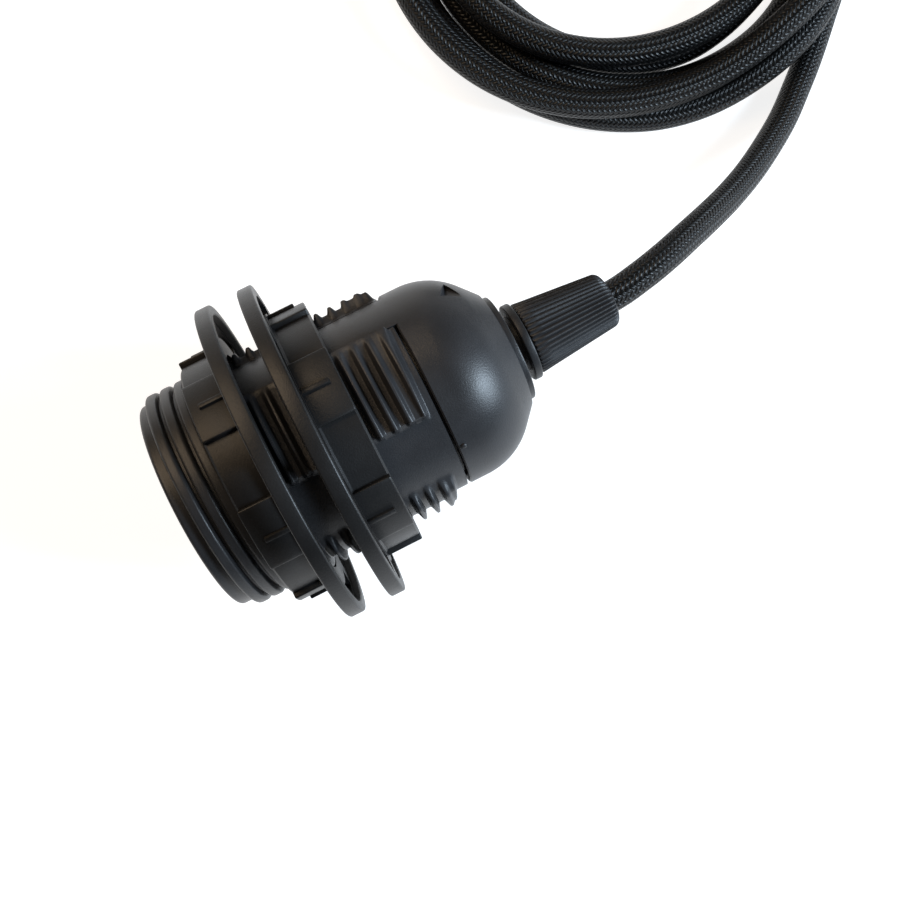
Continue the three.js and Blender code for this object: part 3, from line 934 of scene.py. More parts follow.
@dataclass
class Dome:
    """The domed cap: an arc that runs on as a cone, a collar, a latch recess and two tongues."""

    holder: Holder
    finishes: Finishes
    radius: float = 17.5 * MM
    wall: float = 1.8 * MM
    straight: float = 3.4 * MM
    round: float = 12.4 * MM
    slope: float = 48.0
    collar_radius: float = 9.5 * MM
    collar_length: float = 1.2 * MM
    bore: float = 5.3 * MM
    spigot: float = 15.1 * MM
    spigot_inner: float = 13.7 * MM
    spigot_length: float = 3.4 * MM
    seam: float = 0.5 * MM
    tongue_width: float = 31.0
    tongue_turn: float = -52.5
    tongue_thickness: float = 1.8 * MM
    recess_at: float = 53.2 * MM
    recess_radius: float = 2.1 * MM
    recess_stretch: float = 1.5
    recess_floor: float = 14.3 * MM
    recess_turn: float = -51.0
    nub_at: float = 43.9 * MM
    nub_turn: float = 40.0

    def outline(self, seam_at: float, depth: float, end: float, steps: int) -> Profile:
        """The dome's side: an arc that runs on as a cone.

        Args:
            seam_at: Where the dome starts.
            depth: How far inside the outer side it lies.
            end: Where the cone ends.
            steps: How many steps the arc has.

        Returns:
            Its points in order.
        """
        start = seam_at + self.straight
        points = arc((start, self.radius - self.round), self.round - depth, 90, 90 - self.slope,
                     steps)
        along, radius = points[-1]
        return points + [(end, radius - (end - along) * math.tan(math.radians(self.slope)))]

    def shell(self, seam_at: float, back: float) -> bpy.types.Object:
        """Models the turned cap.

        Args:
            seam_at: Where the dome starts.
            back: Where the collar ends.

        Returns:
            The cap without its tongues.
        """
        crown_end = back - self.collar_length
        inside = [(x, min(r, self.spigot_inner))
                  for x, r in self.outline(seam_at, self.wall, crown_end - self.wall, 10)]
        spigot_at = seam_at - self.spigot_length
        soft = 0.25 * MM
        return Bench.turned("dome_cap_shell", [
            (spigot_at, self.spigot_inner), (spigot_at, self.spigot), (seam_at, self.spigot),
            (seam_at, self.radius - soft), (seam_at + soft, self.radius),
            *self.outline(seam_at, 0.0, crown_end, 24), (crown_end, self.collar_radius + soft),
            (crown_end + soft, self.collar_radius),
            *arc((back - soft, self.collar_radius - soft), soft, 90, 0, 3),
            (back, self.bore), (crown_end - self.wall, self.bore), *reversed(inside)], 180)

    def build(self) -> bpy.types.Object:
        """Models the cap.

        Returns:
            The finished piece.
        """
        front, back = self.holder.along("dome_cap")
        seam_at = self.holder.along("threaded_skirt")[1] + self.seam
        cap = self.shell(seam_at, back)
        upright = Matrix.Rotation(-math.pi / 2, 4, "Y")
        height = self.radius + 2 * MM - self.recess_floor
        recess = Bench.turned("recess", [(0.0, 0.0), (0.0, self.recess_radius),
                                         (height, self.recess_radius), (height, 0.0)], 3)
        place = Matrix.Translation((self.recess_at, 0, self.recess_floor)) @ upright
        stretch = Matrix.Scale(self.recess_stretch, 4, (0, 1, 0)) @ about_x(-90)
        recess.data.transform(about_x(self.recess_turn) @ place @ stretch)
        Bench.boolean(cap, recess, "DIFFERENCE")
        parts = [cap]
        for turn in (self.tongue_turn, self.tongue_turn + 180):
            tongue = Bench.sector("tongue", (front, seam_at + self.straight - 1 * MM),
                                  (self.radius - self.tongue_thickness, self.radius),
                                  turn, self.tongue_width)
            parts.append(tongue)
        nub = Bench.turned("nub", [(0.0, 0.0), (0.0, 0.45 * MM), (0.5 * MM, 0.4 * MM),
                                   (0.75 * MM, 0.0)], 16)
        place = Matrix.Translation((self.nub_at, 0, self.radius - 0.15 * MM)) @ upright
        nub.data.transform(about_x(self.nub_turn) @ place)
        cap = Bench.join([*parts, nub])
        Bench.smooth(cap, 35)
        self.holder.seat(cap, Slot.SHELL, self.finishes, "dome_cap")
        return cap


@dataclass
class ShadeRing:
    """One shade ring: a deep rim, a web with wide vents and a hub of pads with short ribs."""

    holder: Holder
    finishes: Finishes
    node: str
    turn: float
    reversed: bool
    flange_length: float = 2.6 * MM
    rim_wall: float = 1.8 * MM
    web_length: float = 1.3 * MM
    hub_radius: float = 22.2 * MM
    facet_depth: float = 1.0 * MM
    pads: int = 6
    pad_width: float = 30.0
    rib_height: float = 0.6 * MM
    rib_width: float = 0.9 * MM
    rib_short: float = 1.7 * MM
    vent_width: float = 51.3
    bore: float = 19.9 * MM
    shift: float = 0.0

    def turns(self) -> list[Matrix]:
        """The turns that bring a form to each of the pads' places."""
        return [about_x(i * 360 / self.pads) for i in range(self.pads)]

    def base(self, length: float, rim: float) -> bpy.types.Object:
        """Models the turned rim, web and hub, with the vents cut through the web.

        Args:
            length: The ring's whole length.
            rim: The rim's outer radius.

        Returns:
            The ring without its pads.
        """
        flange = length - self.flange_length
        web_end = flange + self.web_length
        rim_in = rim - self.rim_wall
        facet = self.hub_radius - self.facet_depth
        soft = 0.35 * MM
        ring = Bench.turned("shade_ring", [
            (0.3 * MM, self.bore), (0.0, self.bore + 0.3 * MM), (0.0, facet - soft), (soft, facet),
            (flange - soft, facet), (flange, facet + soft),
            *arc((flange + soft, rim - soft), soft, 180, 90, 4),
            *arc((length - soft, rim - soft), soft, 90, 0, 4),
            (length, rim_in + 0.2 * MM), (length - 0.2 * MM, rim_in), (web_end, rim_in),
            (web_end, self.bore)], 180)
        inner = self.hub_radius + self.rib_height + 0.3 * MM
        vent = Bench.sector("vent", (flange - 1 * MM, length + 1 * MM), (inner, rim_in - 0.3 * MM),
                            0.0, self.vent_width)
        Bench.boolean(ring, Bench.join(Bench.copies(vent, self.turns())), "DIFFERENCE")
        return ring

    def build(self) -> bpy.types.Object:
        """Models the ring.

        Returns:
            The finished piece.
        """
        start, end = self.holder.along(self.node)
        length = end - start
        web_end = length - self.flange_length + self.web_length
        facet = self.hub_radius - self.facet_depth
        pad = Bench.sector("hub_pad", (0.05 * MM, web_end - 0.2 * MM),
                           (self.bore + 0.5 * MM, self.hub_radius), 0.0, self.pad_width)
        Bench.bevel(pad, 0.25 * MM, segments=3)
        half = self.rib_width / 2
        rib = Bench.block("hub_rib", (self.rib_short, -half, facet),
                          (web_end - 0.3 * MM, half, self.hub_radius + self.rib_height))
        Bench.bevel(rib, 0.2 * MM)
        raised = Bench.copies(pad, self.turns()) + Bench.copies(rib, self.turns())
        ring = Bench.join([self.base(length, self.holder.reach(self.node)), *raised])
        place = about_x(self.turn)
        if self.reversed:
            place = place @ Matrix.Translation((length, 0, 0)) @ Matrix.Rotation(math.pi, 4, "Z")
        ring.data.transform(Matrix.Translation((start + self.shift, 0, 0)) @ place)
        ring.name = f"{self.node}_piece"
        Bench.smooth(ring, 35)
        self.holder.seat(ring, Slot.RING, self.finishes, self.node)
        return ring


@dataclass
class CordGrip:
    """The cord grip: a flanged stem and a tapered nut with fine flutes."""

    holder: Holder
    finishes: Finishes
    stem_radius: float = 5.0 * MM
    flange_length: float = 1.4 * MM
    jaw_radius: float = 4.3 * MM
    cord_bore: float = 3.05 * MM
    nut_radius: float = 6.4 * MM
    nut_end_radius: float = 4.95 * MM
    nut_end_round: float = 1.3 * MM
    side_steps: int = 6
    flutes: int = 42
    steps_per_flute: int = 8
    flute_depth: float = 0.34 * MM

    def body(self) -> bpy.types.Object:
        """Models the stem with its flange.

        Returns:
            The finished piece.
        """
        start, end = self.holder.along("grip_body")
        nut_at = self.holder.along("grip_nut")[0]
        flange = self.holder.reach("grip_body")
        flange_end = nut_at - 0.3 * MM
        flange_at = flange_end - self.flange_length
        soft = 0.25 * MM
        stem = Bench.turned("grip_stem", [
            (start, self.cord_bore), (start, self.stem_radius), (flange_at, self.stem_radius),
            *arc((flange_at + soft, flange - soft), soft, 180, 90, 3),
            *arc((flange_end - soft, flange - soft), soft, 90, 0, 3),
            (flange_end, self.jaw_radius), (end, self.jaw_radius), (end, self.cord_bore)], 96)
        Bench.smooth(stem, 40)
        self.holder.seat(stem, Slot.GRIP, self.finishes, "grip_body")
        return stem

    def nut(self) -> bpy.types.Object:
        """Models the fluted nut.

        Returns:
            The finished piece.
        """
        start, end = self.holder.along("grip_nut")
        round_at = end - self.nut_end_round
        jaw_end = self.holder.along("grip_body")[1]
        taper = self.nut_end_radius - self.nut_radius
        sides = [(start + (round_at - start) * i / self.side_steps,
                  self.nut_radius + taper * i / self.side_steps)
                 for i in range(self.side_steps + 1)]
        sides[0] = (start + 0.3 * MM, self.nut_radius)
        tip = arc((round_at, self.nut_end_radius - self.nut_end_round), self.nut_end_round,
                  75, 20, 4)
        nut = Bench.turned("grip_nut_piece", [
            (start, self.jaw_radius + 0.3 * MM), (start, self.nut_radius - 0.3 * MM), *sides, *tip,
            (end, self.nut_end_radius - self.nut_end_round * 0.8), (end, self.cord_bore),
            (jaw_end + 0.3 * MM, self.cord_bore), (jaw_end + 0.3 * MM, self.jaw_radius + 0.3 * MM),
        ], self.flutes * self.steps_per_flute)
        self.cut_flutes(nut, start, round_at)
        Bench.smooth(nut, 50)
        self.holder.seat(nut, Slot.GRIP, self.finishes, "grip_nut")
        return nut

    def cut_flutes(self, nut: bpy.types.Object, start: float, end: float) -> None:
        """Presses the flutes into the nut's outer wall.

        Args:
            nut: The turned nut.
            start: Where the flutes begin.
            end: Where they run out.
        """
        for vertex in nut.data.vertices:
            x, y, z = vertex.co
            radius = math.hypot(y, z)
            if radius < self.nut_end_radius - self.nut_end_round * 0.9:
                continue
            if x < start + 0.2 * MM or x > end + self.nut_end_round * 0.7:
                continue
            wave = 0.5 - 0.5 * math.cos(self.flutes * math.atan2(-y, z))
            depth = self.flute_depth * (1 - wave ** 0.6)
            scale = (radius - depth) / radius
            vertex.co = (x, y * scale, z * scale)


@dataclass
class LampSocket:
    """What shows inside the mouth: the lamp shell, the insulator and the centre contact."""

    holder: Holder
    finishes: Finishes
    wall: float = 0.4 * MM
    depth: float = 0.7 * MM
    pitch: float = 3.6 * MM
    turns: int = 4
    wave_steps: int = 40
    boss_radius: float = 8.5 * MM

    def shell(self) -> bpy.types.Object:
        """Models the rolled lamp shell.

        Returns:
            The finished piece.
        """
        start = self.holder.along("screw_shell")[0]
        end = self.holder.along("shell_base")[1]
        radius = self.holder.reach("screw_shell")
        wave = []
        for i in range(self.wave_steps + 1):
            passed = self.turns * i / self.wave_steps
            fall = 0.5 - 0.5 * math.cos(FULL_TURN * passed)
            wave.append((start + 0.6 * MM + self.pitch * passed, fall * self.depth))
        outside = [(x, radius - d) for x, d in wave]
        inside = [(x, radius - self.wall - d) for x, d in wave]
        shell = Bench.turned("lamp_shell", [
            (start, radius - self.wall), (start, radius), *outside, (end - 0.5 * MM, radius),
            (end, radius - 0.5 * MM), (end, self.boss_radius + 0.3 * MM),
            (end - self.wall, self.boss_radius + 0.3 * MM),
            (end - self.wall, radius - self.wall - 0.3 * MM),
            (end - 0.9 * MM, radius - self.wall), *reversed(inside)], 128)
        Bench.smooth(shell, 50)
        self.holder.seat(shell, Slot.NICKEL, self.finishes, "screw_shell", "shell_base")
        return shell

    def insulator(self) -> bpy.types.Object:
        """Models the insulating disc with its boss and the wall behind it.

        Returns:
            The finished piece.
        """
        front, back = self.holder.along("contact_carrier")
        plate_at = self.holder.along("shell_base")[1] + 0.3 * MM
        plate_end = plate_at + 4.0 * MM
        radius = self.holder.reach("contact_carrier")
        disc = Bench.turned("contact_insulator", [
            (front, 0.0), (front, self.boss_radius - 0.4 * MM),
            (front + 0.4 * MM, self.boss_radius), (plate_at, self.boss_radius),
            (plate_at, radius), (plate_end, radius), (plate_end, 0.0),
        ], 128)
        low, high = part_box("line_terminal")
        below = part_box("neutral_terminal")[0][1] + (high[1] - low[1])
        middle = (low[1] + below) / 2
        wall = Bench.block("terminal_wall", (plate_end - 0.3 * MM, middle - 0.6 * MM, -6 * MM),
                           (back, middle + 0.6 * MM, 6 * MM))
        Bench.boolean(disc, wall, "UNION")
        Bench.bevel(disc, 0.15 * MM, 50)
        Bench.smooth(disc, 40)
        self.holder.seat(disc, Slot.CARRIER, self.finishes, "contact_carrier")
        return disc

    def contact(self) -> bpy.types.Object:
        """Models the sprung centre contact.

        Returns:
            The finished piece.
        """
        low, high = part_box("centre_contact")
        front, back = low[0] - self.holder.mouth, high[0] - self.holder.mouth
        thick, half = 0.5 * MM, (high[2] - low[2]) / 2
        line = [(back, high[1]), (back, 2.6 * MM), (back - 1.4 * MM, 0.6 * MM),
                (front + thick, -2.4 * MM), (front + thick, low[1])]
        outline = line + [(x - thick, y) for x, y in reversed(line)]
        strip = Bench.loop("centre_spring", outline)
        for vertex, (x, y) in zip(strip.data.vertices, outline):
            vertex.co = (x, y, -half)
        Bench.only(strip)
        bpy.ops.object.mode_set(mode="EDIT")
        bpy.ops.mesh.select_all(action="SELECT")
        bpy.ops.mesh.edge_face_add()
        bpy.ops.mesh.extrude_region_move(TRANSFORM_OT_translate={"value": (0, 0, 2 * half)})
        bpy.ops.object.mode_set(mode="OBJECT")
        Bench.tidy(strip)
        Bench.bevel(strip, 0.12 * MM)
        Bench.smooth(strip, 40)
        self.holder.seat(strip, Slot.BRASS, self.finishes, "centre_contact")
        return strip


@dataclass(frozen=True)
class CoilLanes:
    """Where the coil's turns lie: three lanes on the floor, and two loose turns on them.

    Angles are in degrees about the centre, from +X towards +Y, counted on through the turns.
    """

    centre: tuple[float, float] = (84.5 * MM, 72.0 * MM)
    thickness: float = 5.5 * MM
    entry: float = -66.0
    outer_lane: float = 45.2 * MM
    lane_step: float = 5.7 * MM
    lane_change: float = 44.0
    layer_gap: float = 0.1 * MM
    first: float = -46.0
    last: float = 1822.0
    climb: tuple[float, float] = (975.0, 1020.0)
    outward: tuple[float, float] = (1500.0, 1610.0)
    humps: tuple[tuple[float, ...], ...] = ((255.0, 294.0, 318.0, 350.0),
                                            (1700.0, 1740.0, 1758.0, 1790.0))
    inner_mean: float = 34.7 * MM
    inner_shift: float = 3.0 * MM
    inner_oval: float = 1.5 * MM
    inner_turn: float = 190.0
    outer_mean: float = 44.9 * MM
    outer_oval: float = 3.5 * MM
    outer_turn: float = 170.0
    tie_turn: float = 150.0
    tie_lift: float = 1.15 * MM
    tie_near: float = 2.0
    tie_far: float = 16.0

    def inner_loose(self, angle: float) -> float:
        """The radius of the loose inner turn at an angle."""
        turn = math.radians(angle + self.inner_turn)
        oval = self.inner_oval * math.cos(2 * turn)
        return self.inner_mean + self.inner_shift * math.cos(turn) + oval

    def outer_loose(self, angle: float) -> float:
        """The radius of the loose outer turn at an angle."""
        turn = math.radians(angle + self.outer_turn)
        return self.outer_mean + self.outer_oval * math.cos(2 * turn)

    def radius(self, angle: float) -> float:
        """The distance from the coil's centre at an angle."""
        floor = self.outer_lane
        for turn in (1, 2):
            shift = self.entry + 360 * turn
            floor -= self.lane_step * smooth_step(angle, shift, shift + self.lane_change)
        loose = self.inner_loose(angle)
        top = loose + (self.outer_loose(angle) - loose) * smooth_step(angle, *self.outward)
        return floor + (top - floor) * smooth_step(angle, *self.climb)

    def height(self, angle: float) -> float:
        """The height of the cord's middle, with the humps where a turn passes over the lead."""
        layers = smooth_step(angle, *self.climb)
        for start, top, fall, end in self.humps:
            layers += smooth_step(angle, start, top) * (1 - smooth_step(angle, fall, end))
        away = (angle - self.tie_turn + 180) % 360 - 180
        tie = 1 - smooth_step(abs(away), self.tie_near, self.tie_far)
        lift = (self.thickness + self.layer_gap) * layers + self.tie_lift * tie
        return self.thickness / 2 + lift

    def point(self, angle: float) -> Vector:
        """The cord's middle at an angle."""
        turn = math.radians(angle)
        radius = self.radius(angle)
        return Vector((self.centre[0] + radius * math.cos(turn),
                       self.centre[1] + radius * math.sin(turn), self.height(angle)))


# The lead's and the tail's routes, in millimetres: the same points as the solids', run on to
# where they meet the coil.
LEAD_POINTS = (
    (13.9, 0, 28.5), (26, 0, 28.5), (39.1, 0, 28.5), (46, 0.9, 28.2), (52, 2.2, 26.7),
    (58, 3.8, 23.6), (65, 5.7, 19.2), (71.5, 7.7, 14.8), (78.5, 10.4, 10.6), (85.5, 13.8, 7),
    (92, 17.6, 4.4), (97.6, 21.9, 3.1), (101.6, 25.3, 2.8), (105.4, 28.9, 2.75),
    (109.2, 32.7, 2.75),
)
TAIL_POINTS = (
    (121.6, 107, 5.1), (117.4, 111.6, 3.6), (112, 116.6, 3.1), (104, 121.9, 3.1), (97, 124.3, 3.1),
    (92, 124.8, 3.1), (90, 124.8, 3.1),
)


@dataclass
class BraidedCord:
    """The cord from inside the grip, through its coil, to its stripped end."""

    finishes: Finishes
    lanes: CoilLanes
    diameter: float = 5.5 * MM
    sides: int = 20
    spacing: float = 1.4 * MM
    turn_step: float = 12.0
    curve_steps: int = 12
    line: list[Vector] = field(default_factory=list)
    length: float = 0.0

    def knots(self) -> list[Vector]:
        """The points that the cord's smooth curve goes through.

        Returns:
            The points in order.
        """
        points = [Vector(p) * MM for p in LEAD_POINTS]
        count = round((self.lanes.last - self.lanes.first) / self.turn_step)
        for i in range(count + 1):
            points.append(self.lanes.point(self.lanes.first + i * self.turn_step))
        return points + [Vector(p) * MM for p in TAIL_POINTS]

    def build(self) -> bpy.types.Object:
        """Models the cord along evenly spaced points of a smooth curve.

        Returns:
            The finished piece.
        """
        self.line = evenly(smooth_line(self.knots(), self.curve_steps), self.spacing)
        self.length = sum((b - a).length for a, b in zip(self.line, self.line[1:]))
        cord = swept_tube("braided_cord", self.line, self.diameter / 2, self.sides)
        self.finishes.dress(cord, Slot.BRAID, "cord", "cord_coil", "cord_tail")
        LOG.info("the cord is %.3f m long", self.length)
        return cord


def catmull_rom(before: Vector, start: Vector, end: Vector, after: Vector, t: float) -> Vector:
    """A point on a smooth curve between two points.

    Args:
        before: The point before them.
        start: The first of the two.
        end: The second.
        after: The point after them.
        t: How far between the two, from 0 to 1.

    Returns:
        The point.
    """
    return 0.5 * (2 * start + (end - before) * t
                  + (2 * before - 5 * start + 4 * end - after) * t * t
                  + (3 * start - before - 3 * end + after) * t ** 3)


def smooth_line(knots: list[Vector], steps: int) -> list[Vector]:
    """A smooth curve through points.

    Args:
        knots: The points that it goes through.
        steps: How many steps it has between two of them.

    Returns:
        The curve's points in order.
    """
    fine = [knots[0]]
    for i in range(len(knots) - 1):
        before, start = knots[max(i - 1, 0)], knots[i]
        end, after = knots[i + 1], knots[min(i + 2, len(knots) - 1)]
        for step in range(1, steps + 1):
            fine.append(catmull_rom(before, start, end, after, step / steps))
    return fine


def evenly(points: list[Vector], spacing: float) -> list[Vector]:
    """Spaces points evenly along the line through them.

    Args:
        points: The line's points.
        spacing: The distance wanted.

    Returns:
        The new points, the first and last ones kept.
    """
    lengths = [(b - a).length for a, b in zip(points, points[1:])]
    total = sum(lengths)
    count = max(2, round(total / spacing))
    made, index, passed = [points[0].copy()], 0, 0.0
    for i in range(1, count):
        target = total * i / count
        while passed + lengths[index] < target:
            passed += lengths[index]
            index += 1
        share = (target - passed) / lengths[index]
        made.append(points[index].lerp(points[index + 1], share))
    made.append(points[-1].copy())
    return made


def swept_tube(name: str, line: list[Vector], radius: float, sides: int,
               swell: Optional[Callable[[float], float]] = None) -> bpy.types.Object:
    """A closed round tube along a line, with a UV map of (around, along).

    Args:
        name: The new object's name.
        line: The tube's middle.
        radius: Its radius.
        sides: How many sides its section has.
        swell: The radius as a factor, from how far along the tube a point is, 0 to 1.

    Returns:
        The tube.
    """
    tangents = [(line[min(i + 1, len(line) - 1)] - line[max(i - 1, 0)]).normalized()
                for i in range(len(line))]
    normal = Vector((0, 0, 1)).cross(tangents[0]).cross(tangents[0]).normalized()
    points, along, passed = [], [], 0.0
    for i, (middle, tangent) in enumerate(zip(line, tangents)):
        normal = (normal - tangent * normal.dot(tangent)).normalized()
        side = tangent.cross(normal)
        passed += (middle - line[i - 1]).length if i else 0.0
        along.append(passed)
        wide = radius * (swell(i / (len(line) - 1)) if swell else 1.0)
        for k in range(sides):
            turn = FULL_TURN * k / sides
            points.append(middle + (normal * math.cos(turn) + side * math.sin(turn)) * wide)
    faces, coords = [], []
    around = FULL_TURN * radius
    for i in range(len(line) - 1):
        for k in range(sides):
            nxt = (k + 1) % sides
            faces.append((i * sides + k, i * sides + nxt, (i + 1) * sides + nxt,
                          (i + 1) * sides + k))
            low, high = along[i] / around, along[i + 1] / around
            coords += [(k / sides, low), ((k + 1) / sides, low), ((k + 1) / sides, high),
                       (k / sides, high)]
    faces.append(tuple(reversed(range(sides))))
    faces.append(tuple((len(line) - 1) * sides + k for k in range(sides)))
    for end in (0.0, along[-1] / around):
        coords += [(0.5 + 0.1 * math.cos(FULL_TURN * k / sides),
                    end + 0.1 * math.sin(FULL_TURN * k / sides)) for k in range(sides)]
    mesh = bpy.data.meshes.new(name)
    mesh.from_pydata(points, [], faces)
    layer = mesh.uv_layers.new(name="braid")
    layer.data.foreach_set("uv", [value for pair in coords for value in pair])
    mesh.update()
    tube = bpy.data.objects.new(name, mesh)
    bpy.context.scene.collection.objects.link(tube)
    Bench.smooth(tube, 60)
    return tube


@dataclass
class CordEnd:
    """The stripped end of the cord: a shrink sleeve, two insulated cores and their ferrules."""

    finishes: Finishes
    core_radius: float = 1.1 * MM
    core_steps: int = 8
    core_apart: float = 1.25 * MM
    core_floor: float = 1.4 * MM
    sleeve_steps: int = 40
    sleeve_draw: float = 0.06
    sleeve_waist: float = 0.3
    sleeve_ripple: float = 0.012
    pin_radius: float = 0.9 * MM
    neck_length: float = 2.0 * MM
    crimp_depth: float = 0.07 * MM
    crimp_steps: int = 9

    def sleeve(self) -> bpy.types.Object:
        """Models the shrink sleeve, drawn in at both ends.

        Returns:
            The finished piece.
        """
        low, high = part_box("end_sleeve")
        y, z, radius = (low[1] + high[1]) / 2, (low[2] + high[2]) / 2, (high[2] - low[2]) / 2
        steps = self.sleeve_steps
        line = [Vector((high[0] + (low[0] - high[0]) * i / steps, y, z)) for i in range(steps + 1)]

        def swell(t: float) -> float:
            """Narrow at the mouth of the sleeve, and narrower where it grips the cores."""
            draw = self.sleeve_draw * (1 - smooth_step(t, 0.0, 0.12))
            waist = self.sleeve_waist * smooth_step(t, 0.72, 0.95)
            ripple = self.sleeve_ripple * math.sin(38 * t) * math.sin(9 * t + 1)
            return 0.99 - draw - waist + ripple

        piece = swept_tube("shrink_sleeve_piece", line, radius, 32, swell)
        self.finishes.dress(piece, Slot.SLEEVE, "end_sleeve")
        return piece

    def core(self, node: str, slot: Slot) -> bpy.types.Object:
        """Models one insulated core.

        Args:
            node: Its CAD node.
            slot: Its finish.

        Returns:
            The finished piece.
        """
        low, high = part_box(node)
        sleeve_low, sleeve_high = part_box("end_sleeve")
        middle_y = (sleeve_low[1] + sleeve_high[1]) / 2
        top = (sleeve_low[2] + sleeve_high[2]) / 2
        side = 1.0 if (low[1] + high[1]) / 2 > middle_y else -1.0
        near = middle_y + side * self.core_apart
        far = (high[1] - self.core_radius) if side > 0 else (low[1] + self.core_radius)
        span = high[0] - low[0]
        bend = (near + far) / 2 + side * 0.4 * MM
        route = [
            Vector((high[0] + 0.4 * MM, near, top)),
            Vector((high[0] - 0.12 * span, near, top - 0.3 * MM)),
            Vector((high[0] - 0.4 * span, bend, self.core_floor + 0.1 * MM)),
            Vector((high[0] - 0.7 * span, far, self.core_floor)),
            Vector((low[0], far, self.core_floor)),
        ]
        line = smooth_line(route, self.core_steps)
        piece = swept_tube(f"{node}_piece", line, self.core_radius, 20)
        self.finishes.dress(piece, slot, node)
        return piece

    def ferrule(self, node: str) -> bpy.types.Object:
        """Models one crimped ferrule with its flared collar.

        Args:
            node: Its CAD node.

        Returns:
            The finished piece.
        """
        low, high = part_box(node)
        y, z = (low[1] + high[1]) / 2, (low[2] + high[2]) / 2
        collar, pin = (high[2] - low[2]) / 2, self.pin_radius
        neck = high[0] - self.neck_length
        profile = [(low[0] + 0.1 * MM, 0.0), (low[0], pin * 0.8), (low[0] + 0.15 * MM, pin * 0.95)]
        for i in range(1, self.crimp_steps):
            crimp = self.crimp_depth * (i % 2)
            profile.append((low[0] + (neck - low[0]) * i / self.crimp_steps, pin - crimp))
        profile += [(neck, pin), (neck + 0.6 * MM, collar * 0.92), (high[0] - 0.1 * MM, collar),
                    (high[0], collar * 0.97), (high[0], 0.0)]
        piece = Bench.turned(f"{node}_piece", profile, 32)
        piece.data.transform(Matrix.Translation((0, y, z)))
        Bench.smooth(piece, 45)
        self.finishes.dress(piece, Slot.FERRULE, node)
        return piece

    def build(self) -> list[bpy.types.Object]:
        """Models the whole end.

        Returns:
            Its pieces.
        """
        return [self.sleeve(), self.core("end_line_core", Slot.BROWN),
                self.core("end_neutral_core", Slot.BLUE), self.ferrule("end_line_ferrule"),
                self.ferrule("end_neutral_ferrule")]


@dataclass
class CoilTie:
    """The strap round the coil, with its locking head."""

    finishes: Finishes
    lanes: CoilLanes
    width: float = 4.0 * MM
    thickness: float = 1.0 * MM
    inner: float = 30.3 * MM
    outer: float = 48.9 * MM
    low: float = 0.15 * MM
    high: float = 12.6 * MM
    corner: float = 2.6 * MM

    def build(self) -> bpy.types.Object:
        """Models the strap and its head.

        Returns:
            The finished piece.
        """
        loop = []
        left, right = self.inner + self.corner, self.outer - self.corner
        bottom, top = self.low + self.corner, self.high - self.corner
        for x, z, start in ((right, top, 0), (left, top, 90), (left, bottom, 180),
                            (right, bottom, 270)):
            loop += arc((x, z), self.corner, start, start + 90, 6)
        strap = Bench.loop("coil_strap", loop)
        Bench.only(strap)
        bpy.ops.object.mode_set(mode="EDIT")
        bpy.ops.mesh.select_all(action="SELECT")
        bpy.ops.mesh.extrude_region_move(TRANSFORM_OT_translate={"value": (0, self.width, 0)})
        bpy.ops.object.mode_set(mode="OBJECT")
        strap.data.transform(Matrix.Translation((0, -self.width / 2, 0)))
        Bench.tidy(strap)
        Bench.apply(strap, "SOLIDIFY", thickness=self.thickness, offset=-1.0)
        Bench.bevel(strap, 0.15 * MM, 50)
        head = Bench.block("tie_head", (self.outer - 8.5 * MM, -2.8 * MM, self.high - 0.9 * MM),
                           (self.outer - 3.5 * MM, 2.8 * MM, self.high + 1.9 * MM))
        Bench.bevel(head, 0.5 * MM, segments=3)
        strap = Bench.join([strap, head])
        place = Matrix.Rotation(math.radians(self.lanes.tie_turn), 4, "Z")
        strap.data.transform(Matrix.Translation((*self.lanes.centre, 0)) @ place)
        Bench.smooth(strap, 40)
        self.finishes.dress(strap, Slot.TIE, "coil_tie")
        return strap


@dataclass(frozen=True)
class Camera:
    """The photograph's camera: close above the holder, a little off the vertical."""

    place: Point = (-0.0064, -0.01065, 0.2157)
    turn: float = -26.8
    tilt: float = -2.9
    lens: float = 44.38
    sensor: float = 36.0

    def build(self) -> None:
        """Makes the camera and puts it to use."""
        data = bpy.data.cameras.new("camera")
        data.lens = self.lens
        data.sensor_width = self.sensor
        data.clip_start = 0.005
        camera = bpy.data.objects.new("camera", data)
        bpy.context.scene.collection.objects.link(camera)
        lean = Matrix.Rotation(math.radians(self.tilt), 4, "Y")
        roll = Matrix.Rotation(math.radians(self.turn), 4, "Z")
        camera.matrix_world = Matrix.Translation(self.place) @ lean @ roll
        bpy.context.scene.camera = camera


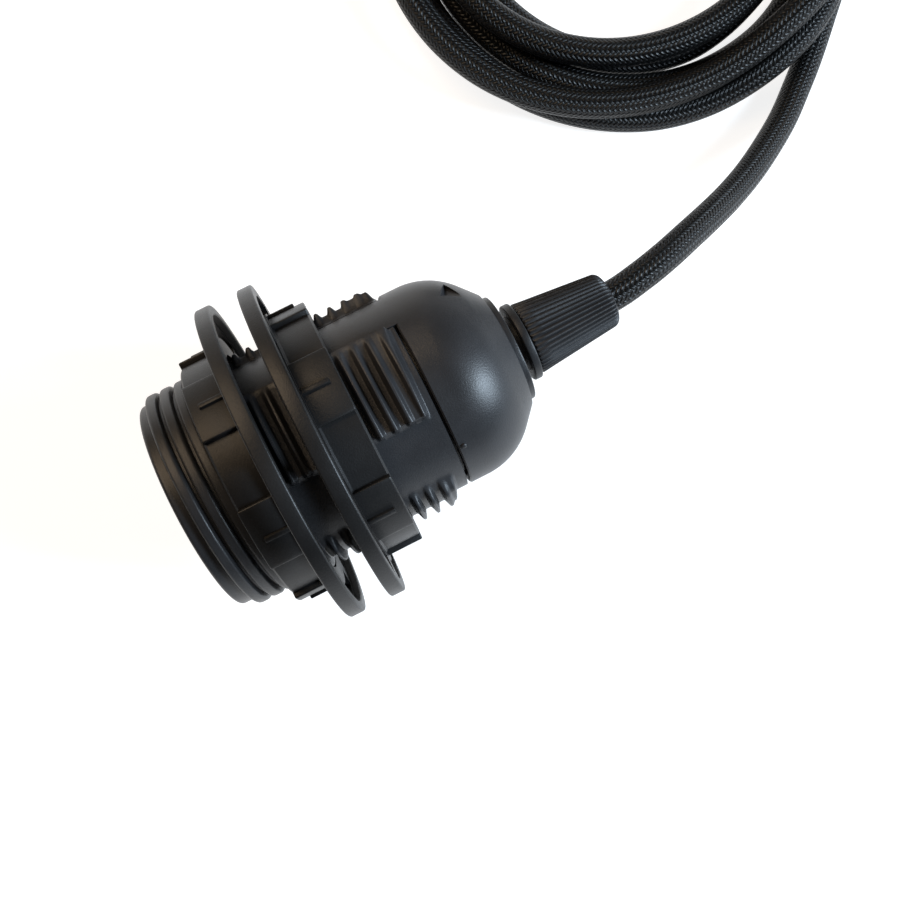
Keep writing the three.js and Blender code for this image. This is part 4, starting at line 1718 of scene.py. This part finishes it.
class Studio:
    """The floor, the lamps and the world."""

    def __init__(self) -> None:
        """Sets the colour management that the renders use."""
        bpy.context.scene.view_settings.view_transform = "Standard"

    @staticmethod
    def floor() -> None:
        """A plain pale floor that keeps the object's soft shadow."""
        Bench.deselect()
        bpy.ops.mesh.primitive_plane_add(size=6)
        floor = bpy.context.object
        floor.name = "floor"
        material, graph, shader = new_material("pale_floor")
        shader.inputs["Base Color"].default_value = (0.4, 0.4, 0.4, 1)
        shader.inputs["Roughness"].default_value = 0.9
        path = graph.node("ShaderNodeLightPath").outputs
        seen = graph.math("MAXIMUM", path["Is Camera Ray"], path["Is Glossy Ray"])
        seen = graph.math("MAXIMUM", seen, path["Is Transmission Ray"])
        glow = graph.mix(seen, (0, 0, 0, 1), (0.85, 0.85, 0.85, 1))
        graph.tree.links.new(glow, shader.inputs["Emission Color"])
        shader.inputs["Emission Strength"].default_value = 1.0
        floor.data.materials.append(material)

    @staticmethod
    def lamp(name: str, place: Point, aim: Point, size: float, power: float,
             colour: tuple[float, float, float]) -> None:
        """A square soft lamp.

        Args:
            name: Its name.
            place: Where it stands.
            aim: What it points at.
            size: Its side.
            power: Its power in watts.
            colour: Its colour.
        """
        data = bpy.data.lights.new(name, "AREA")
        data.shape = "SQUARE"
        data.size = size
        data.energy = power
        data.color = colour
        lamp = bpy.data.objects.new(name, data)
        bpy.context.scene.collection.objects.link(lamp)
        lamp.location = place
        lamp.rotation_euler = (Vector(aim) - Vector(place)).to_track_quat("-Z", "Y").to_euler()

    def build(self) -> None:
        """Makes the stage and lights it."""
        self.floor()
        middle = (0.02, 0.02, 0.03)
        self.lamp("cool_window", (0.52, -0.26, 0.42), middle, 0.27, 10.0, (0.7, 0.85, 1.0))
        self.lamp("warm_room", (-0.2, 0.42, 0.5), middle, 0.4, 2.6, (1.0, 0.76, 0.52))
        world = bpy.data.worlds.new("studio_world")
        bpy.context.scene.world = world
        world.use_nodes = True
        background = world.node_tree.nodes["Background"]
        background.inputs["Color"].default_value = (1.0, 1.0, 1.0, 1)
        background.inputs["Strength"].default_value = 0.07


def main() -> None:
    """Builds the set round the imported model."""
    logging.basicConfig(level=logging.INFO, format="%(name)s: %(message)s")
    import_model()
    Camera().build()
    studio = Studio()
    finishes = Finishes()
    lanes = CoilLanes()
    cord = BraidedCord(finishes, lanes)
    cord_piece = cord.build()
    tie = CoilTie(finishes, lanes).build()
    end = CordEnd(finishes).build()
    holder = Holder.from_frame()
    ThreadedShell(holder, finishes).build()
    Dome(holder, finishes).build()
    ShadeRing(holder, finishes, "front_shade_ring", 28.0, False, shift=0.4 * MM).build()
    ShadeRing(holder, finishes, "rear_shade_ring", 43.0, True, shift=-0.1 * MM).build()
    grip = CordGrip(holder, finishes)
    grip.body()
    grip.nut()
    socket = LampSocket(holder, finishes)
    socket.shell()
    socket.insulator()
    socket.contact()
    finishes.dress_cad()
    studio.build()
    LOG.info("cad box and visual box written")


if __name__ == "__main__":
    main()
